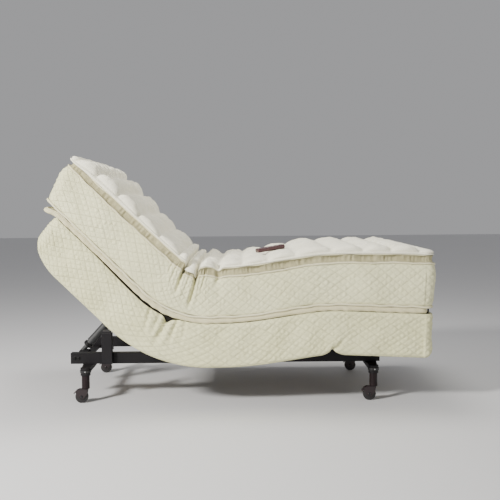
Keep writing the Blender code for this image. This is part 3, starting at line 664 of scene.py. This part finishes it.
def shade(color, amount):
    return tuple(channel * amount for channel in color)


def stitched(make, u, v, offset, width):
    """1 on the slanting stitch lines and 0 past their width. offset moves them by a share of their gap."""
    lines = []
    lengthwise = make.math("DIVIDE", u, DIAMOND_LENGTH)
    upright = make.math("DIVIDE", v, DIAMOND_HEIGHT)
    for operation in ("ADD", "SUBTRACT"):
        across = make.math("ADD", make.math(operation, lengthwise, upright), offset)
        nearest = make.math("ABSOLUTE", make.math("SUBTRACT", make.math("FRACT", across), 0.5))
        lines.append(make.math("SUBTRACT", 0.5, nearest))
    gap = make.times(make.math("MINIMUM", *lines), STITCH_GAP)
    return make.math("SUBTRACT", 1.0, make.math("DIVIDE", gap, width, clamp=True), clamp=True)


def cloth_material(name, light, dark, weave=0.0009, quilted=False, sheen=0.15):
    """Woven cotton with a faint woven figure. A quilted one has stitched lines darkened by painted shade."""
    make = Nodes(name)
    flat = make.add("UVMap", {}, uv_map="cloth").outputs[0]
    u, v, _ = make.add("SeparateXYZ", {0: flat}).outputs
    warp = make.math("SINE", make.times(u, tau / weave))
    weft = make.math("SINE", make.times(v, tau / weave))
    thread = make.times(warp, weft)
    blotch = make.noise(7.0, 4.0)
    figure = make.noise(95.0, 2.0, 0.5)
    tone = make.math("ADD", make.times(blotch, 0.6), make.times(figure, 0.4))
    color = make.ramp(tone, (0.3, dark), (0.68, light))
    normal = make.bump(thread, 0.00022, 0.6)
    normal = make.bump(figure, 0.0009, 0.5, normal)
    normal = make.bump(make.noise(210.0, 2.0), 0.0006, 0.6, normal)
    if quilted:
        firm = stitched(make, u, v, 0.0, 0.003)
        light = stitched(make, u, v, 0.5, 0.0026)
        seam = make.math("MAXIMUM", firm, make.times(light, 0.65))
        # Painted shade: the stitch lines are darkened as if shade lay in their grooves.
        color = make.mix(make.times(seam, 0.3), color, shade(dark, 0.62))
        run = make.math("FRACT", make.math("DIVIDE", v, 0.0036))
        stitch = make.times(make.math("GREATER_THAN", run, 0.35), make.math("GREATER_THAN", seam, 0.72))
        groove = make.math("SUBTRACT", make.times(stitch, 0.35), seam)
        normal = make.bump(groove, 0.002, 0.75, normal)
    constants = (("Sheen Weight", sheen), ("Sheen Roughness", 0.5), ("Specular IOR Level", 0.25))
    return make.surface(color, make.spread(figure, 0.78, 0.95), normal, constants)


def painted_material(name, color, roughness):
    """Powder-coated steel: a fine orange-peel texture under a thin film of dust and faint rubbing."""
    make = Nodes(name)
    grain = make.noise(900.0, 2.0)
    patch = make.noise(9.0, 5.0)
    scuff = make.noise(70.0, 5.0, 0.7, stretch=(1.0, 1.0, 4.0))
    base = make.ramp(patch, (0.35, shade(color, 0.85)), (0.7, shade(color, 1.25)))
    rubbed = make.times(make.math("SUBTRACT", scuff, 0.6, clamp=True), 0.9)
    coat = make.mix(rubbed, base, shade(color, 3.0))
    gloss = make.spread(patch, roughness - 0.08, roughness + 0.12)
    constants = (("Metallic", 0.15), ("Specular IOR Level", 0.25))
    return make.surface(coat, gloss, make.bump(grain, 0.00012, 0.5), constants)


def bright_material():
    """Zinc-plated steel, brushed along its length."""
    make = Nodes("zinc_steel")
    streak = make.noise(60.0, 4.0, 0.7, stretch=(1.0, 14.0, 14.0))
    color = make.ramp(streak, (0.3, (0.42, 0.42, 0.43)), (0.7, (0.66, 0.66, 0.67)))
    gloss = make.spread(streak, 0.22, 0.42)
    return make.surface(color, gloss, make.bump(streak, 0.0001, 0.5), [("Metallic", 1.0)])


def plywood_material():
    """Birch plywood with long grain and a few darker streaks."""
    make = Nodes("plywood_face")
    wander = make.noise(2.5, 3.0, stretch=(0.35, 3.0, 3.0))
    grain = make.noise(55.0, 6.0, 0.65, stretch=(0.05, 1.0, 1.0))
    tone = make.math("ADD", make.times(wander, 0.55), make.times(grain, 0.45))
    stops = ((0.32, (0.36, 0.22, 0.11)), (0.52, (0.56, 0.39, 0.22)), (0.72, (0.68, 0.51, 0.32)))
    color = make.ramp(tone, *stops)
    return make.surface(color, make.spread(grain, 0.55, 0.8), make.bump(grain, 0.0004, 0.5))


def moulded_material(name, color, roughness):
    """Moulded plastic or rubber with a fine texture and faint handling marks."""
    make = Nodes(name)
    grain = make.noise(1400.0, 2.0)
    patch = make.noise(16.0, 4.0)
    base = make.ramp(patch, (0.35, shade(color, 0.85)), (0.7, shade(color, 1.18)))
    gloss = make.spread(patch, roughness - 0.07, roughness + 0.1)
    return make.surface(base, gloss, make.bump(grain, 0.00015, 0.4))


COVER = cloth_material("quilted_cover", (0.77, 0.755, 0.47), (0.66, 0.645, 0.37), quilted=True)
TICKING = cloth_material("quilted_ticking", (0.79, 0.775, 0.505), (0.68, 0.665, 0.4), quilted=True)
PILLOW = cloth_material("pillow_ticking", (0.9, 0.875, 0.73), (0.8, 0.77, 0.6), weave=0.0011)
# The gusset's own olive tone, darkened further as painted shade of its set-back recess.
GUSSET = cloth_material("gusset_cloth", (0.45, 0.42, 0.255), (0.33, 0.3, 0.17), weave=0.0013, sheen=0.1)
TAPE = cloth_material("binding_tape", (0.74, 0.7, 0.485), (0.64, 0.6, 0.39), weave=0.0016, sheen=0.1)
BAND = cloth_material("band_cloth", (0.67, 0.62, 0.395), (0.57, 0.525, 0.315), weave=0.0012, sheen=0.1)
# A near-black cloth for the strip round the deck: painted shadow in the crevice under the pad.
PAINTED_SHADOW = cloth_material("painted_shadow_cloth", (0.01, 0.008, 0.006), (0.006, 0.005, 0.004), weave=0.0018, sheen=0.0)
STEEL = painted_material("charcoal_steel", (0.008, 0.0072, 0.0085), 0.48)
LEG_STEEL = painted_material("brown_leg_steel", (0.012, 0.0062, 0.0075), 0.38)
ZINC = bright_material()
ZINC_DARK = painted_material("blackened_bolt", (0.006, 0.006, 0.006), 0.3)
PLYWOOD = plywood_material()
RUBBER = moulded_material("tread_rubber", (0.012, 0.0105, 0.011), 0.62)
GLOSS_BLACK = moulded_material("clamp_black", (0.006, 0.0055, 0.006), 0.22)
NYLON = moulded_material("caster_nylon", (0.014, 0.0078, 0.009), 0.4)
HOUSING = moulded_material("actuator_housing", (0.026, 0.027, 0.028), 0.5)
HANDSET = moulded_material("handset_shell", (0.05, 0.013, 0.017), 0.34)
BUTTON = moulded_material("button_rubber", (0.62, 0.58, 0.52), 0.55)


# ---- mattress
def layer_outline(head_end, foot_end, radius=CORNER_RADIUS, inset=0.0, step=STEP):
    return outline(back_station(head_end), foot_station(foot_end), HALF_WIDTH - inset, radius, step)


def leaned(cloth):
    """The cloth with its head end leaned out, as the mattress's is."""
    lean_head(cloth.points, back_station(BORDER_HEAD), 0.3, mattress_head)
    return cloth


def quilting_fields(seed):
    """How full a quilted wall is from place to place, and its fine crumples."""
    return ripples(seed, 14, 0.1, 0.6), ripples(seed + 1, 18, 0.018, 0.06)


def quilting_rise(length, height, wander, crumple):
    """How far the quilting stands out along a row, with a slow variation and fine crumples."""
    puff = QUILTING.at(length, height) * (1 + PUFF_VARIATION * wander(length, height))
    return QUILT_DEPTH * puff + CRUMPLE_DEPTH * crumple(length, height)


def mattress_border():
    """The quilted side border, bulging between its two tapes."""
    line = layer_outline(BORDER_HEAD, BORDER_FOOT)
    length = line.running[:-1]
    wander, crumple = quilting_fields(11)
    height = BORDER_HIGH - BORDER_LOW
    across = np.linspace(0, height, round(height / RISE) + 1)
    profile = []
    for h in across:
        edge = sin(pi * h / height) ** 0.45 if 0 < h < height else 0.0
        body = 0.0085 - (0.0065 + SAG_DEPTH * wander(length, h + 3.0)) * edge
        profile.append((body - quilting_rise(length, h, wander, crumple) * edge, BORDER_LOW + h))
    return leaned(wall(line, profile, across))


def mattress_cord(line, inset, height, radius, seed):
    wobble = 0.0009 * ripples(seed, 10, 0.05, 0.4)(line.running[:-1], 0.0)
    return cord_wall(line, inset + wobble, height + wobble, radius)


def mattress_gusset():
    """The set-back band between the border and the pillow top, gathered in small upright creases."""
    line = layer_outline(BORDER_HEAD, BORDER_FOOT - 0.003)
    length = line.running[:-1]
    crease = ripples(21, 16, 0.012, 0.05)
    slow = ripples(22, 8, 0.08, 0.3)
    height = GUSSET_HIGH - GUSSET_LOW
    across = np.linspace(0, height, 9)
    profile = []
    for h in across:
        hollow = (0.007 + 0.0016 * crease(length, h * 0.2)) * sin(pi * h / height)
        profile.append((0.01 + hollow + 0.002 * slow(length, 0.0), GUSSET_LOW + h))
    return leaned(wall(line, profile, across))


PILLOW_EDGE = (
    # inset and rise on a crown, then inset and rise in a crease between crowns
    (0.012, 0.0, 0.012, 0.0),
    (0.003, 0.0016, 0.0034, 0.0014),
    (-0.0008, 0.006, 0.0006, 0.0052),
    (-0.0008, 0.0105, 0.0012, 0.009),
    (0.0024, 0.0145, 0.0052, 0.012),
    (0.0066, 0.0168, 0.012, 0.0136),
    (0.0022, 0.0215, 0.0185, 0.0142),
    (0.001, 0.029, 0.023, 0.0152),
    (0.0042, 0.0385, 0.027, 0.017),
    (0.011, 0.0465, 0.031, 0.0195),
    (0.0215, 0.0518, 0.036, 0.0225),
    (0.035, 0.054, 0.0425, 0.0255),
    (0.05, 0.0545, 0.05, 0.0285),
)


def pressed_flat(s, y, n):
    """The top pressed down under the handset, so that it lies on the cloth."""
    middle = np.mean(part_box("handset"), axis=0)
    spot = thigh_station(float((middle[[0, 2]] - THIGH) @ along(THIGH_SLOPE)))
    away = np.hypot((s - spot) / 0.115, (y - middle[1]) / 0.08)
    room = HANDSET_REST + 0.05 * ease(away, 0.9, 2.2) - raised(s, n)
    return np.minimum(n, room)


def pillow_top():
    """The tufted pillow top: a rolled edge all round and a padded field of crowns."""
    low = back_station(PILLOW_HEAD)
    high = foot_station(PILLOW_FOOT)
    rim = CORNER_RADIUS
    side_y = HALF_WIDTH - PILLOW_INSET
    line = layer_outline(PILLOW_HEAD, PILLOW_FOOT, rim, PILLOW_INSET, FIELD_STEP)
    places, normals, _ = line
    crown_inset, crown_rise, _, crease_rise = (np.array(column) for column in zip(*PILLOW_EDGE))

    def field_height(s, y):
        crown = TUFTING.at(s - TUFT_START, y)
        return PILLOW_LOW + crease_rise[-1] + (crown_rise[-1] - crease_rise[-1]) * crown

    crease = tuft_distances(places[:, 0] - TUFT_START, 0.0)[0] ** 0.5
    at_side = np.abs(normals[:, 1])
    shape = 1 - at_side + at_side * crease
    profile = []
    for crown_in, crown_up, crease_in, crease_up in PILLOW_EDGE:
        inset = crown_in * shape + crease_in * (1 - shape)
        height = PILLOW_LOW + crown_up * shape + crease_up * (1 - shape)
        inside = places - normals * inset[:, None]
        share = ease(crown_in, 0.02, 0.05)
        profile.append((inset, height * (1 - share) + field_height(*inside.T) * share))
    edge = wall(line, profile, profile_length(crown_inset, crown_rise))
    inner = edge.points.reshape(len(PILLOW_EDGE), -1, 3)[-1]

    def grid_line(axis, *ends):
        """Where the rolled edge's inner row has points along its straight sides, and the two ends."""
        return np.unique(np.round([*inner[np.abs(normals[:, axis]) < 1e-9, axis], *ends], 7))

    s_line = grid_line(0, low + rim, high - rim)
    y_line = grid_line(1, rim - side_y, side_y - rim)
    s_grid, y_grid = np.meshgrid(s_line, y_line)
    field = np.dstack([s_grid, y_grid, field_height(s_grid, y_grid)])
    cloth = Cloth.grid(field, field[:, :, :2]).joined(edge)
    s, y, n = cloth.points.T.copy()
    rough = ripples(31, 16, 0.03, 0.12)
    loft = ease(n, PILLOW_LOW + 0.018, PILLOW_LOW + 0.045)
    n = n + 0.0012 * rough(s, y) * loft
    toward_head = ease(-s, -(low + 0.13), -(low + 0.005))
    toward_foot = ease(s, high - 0.12, high - 0.005)
    fullness = 1.22 - 0.57 * ease(s, -0.66, -0.3) + 0.17 * ease(s, 0.4, 0.8)
    keep = fullness * (1 - 0.5 * toward_head - 0.45 * toward_foot)
    n = PILLOW_LOW + (n - PILLOW_LOW) * keep - 0.006 * toward_head
    cloth.points[:, 2] = pressed_flat(s, y, n)
    return cloth


def sheet_face(low, high, half_width, height, step=0.018):
    """A flat closing face inside an outline, for the undersides."""
    s_line = np.linspace(low, high, round((high - low) / step))
    y_line = np.linspace(-half_width, half_width, 12)
    flat = np.dstack(np.meshgrid(s_line, y_line))
    points = np.dstack([flat, np.full(flat.shape[:2], height)])
    return Cloth.grid(points, flat)


def mattress():
    low = back_station(UNDER_HEAD)
    high = foot_station(UNDER_FOOT)
    under = sheet_face(low, high, HALF_WIDTH - 0.012, MATTRESS_UNDER).flipped()
    around = layer_outline(BORDER_HEAD, BORDER_FOOT, step=CORD_STEP)
    rim = layer_outline(PILLOW_HEAD - 0.004, PILLOW_FOOT - 0.003, step=CORD_STEP)
    lower = leaned(mattress_cord(around, PIPING_INSET, BINDING_HEIGHT, BINDING_RADIUS, seed=155))
    upper = leaned(mattress_cord(around, PIPING_INSET, PIPING_HEIGHT, PIPING_RADIUS, seed=1077))
    edge = mattress_cord(rim, RIM_INSET, PILLOW_LOW, RIM_RADIUS, seed=1235)
    pieces = partial(soft_pieces, slot="mattress_cover", fold=fold_mattress)
    border = pieces("mattress_border", mattress_border().joined(under), TICKING)
    pieces("mattress_tape", lower.joined(upper, edge), TAPE)
    gusset = pieces("mattress_gusset", mattress_gusset(), GUSSET)
    top = pieces("pillow_top", pillow_top(), PILLOW)
    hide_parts("mattress_back")
    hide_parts("mattress_seat", "mattress_thigh")
    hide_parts("mattress_foot")


# ---- base cover
def base_head(n):
    """How far the base's head end stands back, going down."""
    return -0.016 * np.clip(-n / 0.18, 0, 1.2) ** 2


def curved_up(distance, reach, rise):
    """How far the hem rises at a distance from an end, along nearly a quarter of an ellipse."""
    share = np.clip((reach - distance) / reach, 0, 1)
    return rise * (1 - np.sqrt(1 - share**2 * 0.98))


def hem_height(s):
    """The hem, which curves up at the head end and a little at the foot end."""
    at_head = curved_up(s - back_station(SKIRT_HEAD), *HEAD_CURVE)
    return SKIRT_LOW + at_head + curved_up(foot_station(SKIRT_FOOT) - s, *FOOT_CURVE)


def base_skirt():
    """The quilted skirt, turned under at its hem and up again inside."""
    line = layer_outline(SKIRT_HEAD, SKIRT_FOOT, SKIRT_CORNER)
    length = line.running[:-1]
    wander, crumple = quilting_fields(41)
    hem = hem_height(line.places[:, 0])
    drop = SKIRT_HIGH - SKIRT_LOW
    profile = [(HALF_WIDTH - DECK_HALF_WIDTH, SKIRT_HIGH - 0.005), (0.018, SKIRT_HIGH - 0.0025)]
    across = list(np.linspace(0, drop, round(drop / RISE)))
    for h in across:
        share = h / drop
        pulled = ease(share, 0.0, 0.06) * ease(1 - share, 0.0, 0.07)
        body = 0.0085 - 0.0055 * ease(share, 0.0, 0.1) + 0.006 * ease(share, 0.93, 1.0) ** 2
        body = body - SAG_DEPTH * wander(length, h + 5.0) * ease(share, 0.0, 0.2)
        inset = body - quilting_rise(length, h, wander, crumple) * pulled
        profile.append((inset, SKIRT_HIGH + (hem - SKIRT_HIGH) * share))
    profile += [(0.013, hem - 0.0015), (0.018, hem), (SKIRT_THICKNESS, hem + 0.005)]
    across += [across[-1] + 0.006 * row for row in (1, 2, 3)]
    inside_drop = SKIRT_HIGH - 0.012 - (hem + 0.005)
    profile += [(SKIRT_THICKNESS, hem + 0.005 + inside_drop * row / 4) for row in (1, 2, 3, 4)]
    across += [across[-1] + 0.04 * row for row in (1, 2, 3, 4)]
    cloth = wall(line, profile, [-0.018, -0.01] + across).flipped()
    lean_head(cloth.points, back_station(SKIRT_HEAD), 0.25, base_head)
    return cloth


def pad_line():
    """The pad's outline, and how uneven it is along it."""
    line = layer_outline(BAND_HEAD, BAND_FOOT, PAD_CORNER, PAD_INSET, CORD_STEP)
    return line, 0.001 * ripples(61, 12, 0.05, 0.35)(line.running[:-1], 0.0)


def base_pad():
    """The thin padded layer between base and mattress, whose head edge sticks out past the base."""
    line, uneven = pad_line()
    lumps = 0.0006 * ripples(62, 16, 0.02, 0.08)(line.running[:-1], 0.0)
    middle = (BAND_HIGH + BAND_LOW) / 2
    half = (BAND_HIGH - BAND_LOW) / 2
    turns = np.radians(np.linspace(80, -80, 9))
    profile = [(0.034, BAND_HIGH + 0.003), (0.014, BAND_HIGH + 0.001)]
    profile += [(PAD_EDGE * (1 - cos(turn)), middle + half * sin(turn)) for turn in turns]
    profile += [(0.014, BAND_LOW), (0.024, BAND_LOW + 0.0015), (0.034, BAND_LOW + 0.0065)]
    rows = []
    for inset, height in profile:
        outer = inset < 0.012
        rounded = abs(height - middle) < half
        rows.append((inset + (uneven + lumps) * outer, height + uneven * rounded))
    side = wall(line, rows, profile_length(*zip(*profile))).flipped()
    low = back_station(BAND_HEAD) + 0.03
    high = foot_station(BAND_FOOT) - 0.03
    face = partial(sheet_face, low, high, HALF_WIDTH - 0.032)
    return side.joined(face(BAND_HIGH + 0.0029), face(BAND_LOW + 0.0066).flipped())


def droop_flap(points):
    """Lets the pad's head edge, which nothing holds up, hang down."""
    tip = back_station(BAND_HEAD)
    points[:, 2] -= 0.022 * ease(-points[:, 0], -(tip + 0.08), -tip)


def base_seam():
    """The thin piping along the pad's top edge."""
    line, uneven = pad_line()
    return cord_wall(line, SEAM_INSET + uneven, BAND_HIGH - 0.0002 + uneven, SEAM_RADIUS)


def base_painted_shadow():
    """A near-black strip round the deck: painted shadow, seen as a dark crevice where the skirt's top edge falls
    away from the pad.
    """
    line = layer_outline(SKIRT_HEAD, SKIRT_FOOT, SKIRT_CORNER, step=PAINTED_SHADOW_STEP)
    inset = HALF_WIDTH - DECK_HALF_WIDTH + 0.0004
    top = BAND_LOW + 0.004
    shares = np.linspace(0, 1, 5)
    profile = [(inset + 0.0003 * cos(share * tau), top - PAINTED_SHADOW_WIDTH * share) for share in shares]
    return wall(line, profile, PAINTED_SHADOW_WIDTH * shares).flipped()


def base():
    pieces = partial(soft_pieces, slot="quilted_cover")
    skirt = pieces("base_skirt", base_skirt(), COVER, fold=fold_base)
    pad = pieces("base_pad", base_pad(), BAND, fold=droop_flap)
    pieces("base_tape", base_seam(), TAPE, fold=droop_flap)
    # The near-black strip is painted shadow for the crevice under the pad.
    painted_shadow = pieces("base_painted_shadow", base_painted_shadow(), PAINTED_SHADOW)
    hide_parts("back_foundation")
    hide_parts("seat_foundation", "thigh_foundation")
    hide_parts("foot_foundation")


# ---- the CAD nodes that show
EDGE_WIDTH = 0.0012
FINISHES = {
    "painted_steel": STEEL,
    "leg_paint": LEG_STEEL,
    "bright_steel": ZINC,
    "plywood": PLYWOOD,
    "wheel_rubber": RUBBER,
    "bumper_rubber": RUBBER,
    "caster_plastic": NYLON,
    "actuator_plastic": HOUSING,
    "handset_plastic": HANDSET,
    "button_rubber": BUTTON,
}


def finish_nodes():
    """Gives each CAD node that shows its finish, and softens its edges."""
    for part in frame["record"]["subparts"]:
        node = NODES[part["node"]]
        look = FINISHES.get(part["material_slot"])
        if look is None:
            continue
        node.data.materials.clear()
        node.data.materials.append(look)
        soften = node.modifiers.new("edges", "BEVEL")
        soften.width = EDGE_WIDTH
        soften.segments = 2
        soften.limit_method = "ANGLE"
        soften.angle_limit = radians(50)
        soften.harden_normals = True


# ---- small hardware
SIDES = (("near", -1), ("far", 1))
BOLTS_FROM_END = (0.02, 0.04)
BOLT_HEIGHT = 0.0275
CLAMP_RISE = 0.013
CLAMP_HEIGHT = 0.015
SCREW_FORWARD = 0.003
SCREW_RISE = 0.0205
STRUT_BAND_DISTANCE = 0.046
STRUT_BAND_HEIGHT = 0.018


def shaped(name, body, look, place, facing, build):
    """A small piece that build(bm) makes around its Z axis, faced along a direction and put in place."""
    bm = bmesh.new()
    build(bm)
    mesh = bpy.data.meshes.new(name)
    bm.to_mesh(mesh)
    bm.free()
    mesh.shade_smooth()
    mesh.set_sharp_from_angle(angle=radians(40))
    mesh.materials.append(look)
    piece = new_object(name, mesh)
    piece.location = place
    piece.rotation_euler = Vector(facing).to_track_quat("Z", "Y").to_euler()
    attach(piece, body)


def turned(bm, profile, sides=32, hollow=False):
    """A turned solid from (radius, height) points, going up. A hollow one's profile closes on itself."""
    angles = [tau * k / sides for k in range(sides)]
    rings = []
    for radius, height in profile:
        rings.append([bm.verts.new((radius * cos(a), radius * sin(a), height)) for a in angles])
    if hollow:
        rings.append(rings[0])
    for low, high in zip(rings, rings[1:]):
        for k in range(sides):
            bm.faces.new((low[k], low[(k + 1) % sides], high[(k + 1) % sides], high[k]))
    if not hollow:
        bm.faces.new(list(reversed(rings[0])))
        bm.faces.new(rings[-1])


def bolt(bm):
    """A hex head with a chamfered top, on its washer."""
    turned(bm, [(0.0088, 0.0), (0.0088, 0.0012), (0.0082, 0.0017), (0.004, 0.0017)])
    turned(bm, [(0.0062, 0.0017), (0.0062, 0.005), (0.0052, 0.0061)], sides=6)


def axle_cap(bm):
    """A domed cap on a caster's axle."""
    turns = [radians(angle) for angle in range(0, 90, 15)]
    turned(bm, [(0.0075, 0.0)] + [(0.007 * cos(a), 0.0008 + 0.0032 * sin(a)) for a in turns], sides=24)


def clamp_ring(bm, radius, height):
    """A collar's glossy clamping ring, with rounded edges."""
    lip = 0.0016
    inner = radius - 0.0005
    outer = radius + 0.003
    flare = [(outer - lip, 0.0), (outer, lip), (outer, height - lip), (outer - lip, height)]
    turned(bm, [(inner, 0.0), *flare, (inner, height)], hollow=True)


def small_screw(bm):
    """A round screw head with a small hexagon standing on it."""
    turned(bm, [(0.0036, 0.0), (0.0036, 0.0014), (0.0026, 0.0024)], sides=20)
    turned(bm, [(0.0014, 0.0022), (0.0014, 0.003), (0.001, 0.0033)], sides=6)


def rail_bolts():
    for side, outward in SIDES:
        low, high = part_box(f"side_rail_{side}")
        face = low.y if side == "near" else high.y
        facing = (0, outward, 0)
        for number, step in enumerate(BOLTS_FROM_END, 1):
            name = f"rail_bolt_{side}_{number}"
            place = (low.x + step, face - outward * 0.0002, low.z + BOLT_HEIGHT)
            shaped(name, "under_frame", ZINC_DARK, place, facing, bolt)


def leg_clamps():
    for end in ("head", "foot"):
        for side, outward in SIDES:
            low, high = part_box(f"leg_bracket_{end}_{side}")
            tube_low, tube_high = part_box(f"leg_{end}_{side}")
            x, y, _ = (tube_low + tube_high) / 2
            radius = y - low.y if side == "near" else high.y - y
            name = f"leg_clamp_{end}_{side}"
            ring = partial(clamp_ring, radius=radius, height=CLAMP_HEIGHT)
            place = (x, y, low.z + CLAMP_RISE)
            shaped(name, "under_frame", GLOSS_BLACK, place, (0, 0, 1), ring)
            screw = (x + SCREW_FORWARD, y + outward * (radius + 0.0028), low.z + SCREW_RISE)
            shaped(f"{name}_screw", "under_frame", ZINC, screw, (0, outward, 0), small_screw)


def caster_caps():
    for end in ("head", "foot"):
        for side, _ in SIDES:
            caster = f"caster_{end}_{side}"
            low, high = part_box(f"{caster}_fork")
            x, _, z = JOINTS[f"{caster}_roll"]["pos_m"]
            for hand, face, outward in (("left", low.y, -1), ("right", high.y, 1)):
                name = f"{caster}_cap_{hand}"
                shaped(name, caster, GLOSS_BLACK, (x, face, z), (0, outward, 0), axle_cap)


def strut_band():
    """The black band round the head lift's outer tube."""
    direction = Vector(JOINTS["head_rod_slide"]["axis"])
    place = Vector(JOINTS["head_actuator_pivot"]["pos_m"]) + direction * STRUT_BAND_DISTANCE
    ring = partial(clamp_ring, radius=abs(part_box("head_actuator_motor")[0].y), height=STRUT_BAND_HEIGHT)
    shaped("strut_band", "head_actuator", GLOSS_BLACK, place, direction, ring)


# ---- camera, light and floor
CAMERA_PLACE = (0.0288, -4.243, 0.9719)
# Applied in this order, in degrees: turned, tipped and rolled a little from looking straight across the bed.
CAMERA_TURNS = (("Z", -0.533), ("X", -3.296), ("Y", 0.459), ("X", 90.0))
LAMP_COLOR = (1.0, 0.975, 0.93)
LAMPS = (
    # name, place, target, size, power
    ("key", (-3.0, -3.2, 2.7), (-0.1, 0.0, 0.5), 0.6, 400.0),
    ("fill", (3.4, -3.6, 1.5), (0.3, 0.0, 0.5), 2.0, 40.0),
    ("top", (0.2, 0.5, 3.4), (0.0, 0.0, 0.6), 1.2, 60.0),
)


def studio():
    bpy.ops.mesh.primitive_plane_add(size=40.0)
    floor = bpy.context.object
    floor.name = "studio_floor"
    make = Nodes("studio_floor")
    floor.data.materials.append(make.surface((0.62, 0.62, 0.63), make.spread(make.noise(1.5), 0.55, 0.68)))
    world = bpy.data.worlds.new("studio")
    world.use_nodes = True
    background = world.node_tree.nodes["Background"]
    background.inputs["Color"].default_value = (0.84, 0.84, 0.86, 1.0)
    background.inputs["Strength"].default_value = 0.44
    SCENE.world = world
    for name, place, target, size, power in LAMPS:
        light = bpy.data.lights.new(name, "AREA")
        light.size = size
        light.energy = power
        light.color = LAMP_COLOR
        lamp = new_object(name, light)
        lamp.location = place
        lamp.rotation_euler = (Vector(target) - Vector(place)).to_track_quat("-Z", "Y").to_euler()


def camera():
    lens = bpy.data.cameras.new("camera")
    lens.sensor_width = 36.0
    lens.lens = 57.3
    view = new_object("camera", lens)
    matrix = Matrix.Translation(CAMERA_PLACE)
    for axis, degrees in CAMERA_TURNS:
        matrix = matrix @ Matrix.Rotation(radians(degrees), 4, axis)
    view.matrix_world = matrix
    SCENE.camera = view


camera()
mattress()
base()
finish_nodes()
rail_bolts()
leg_clamps()
caster_caps()
strut_band()
studio()
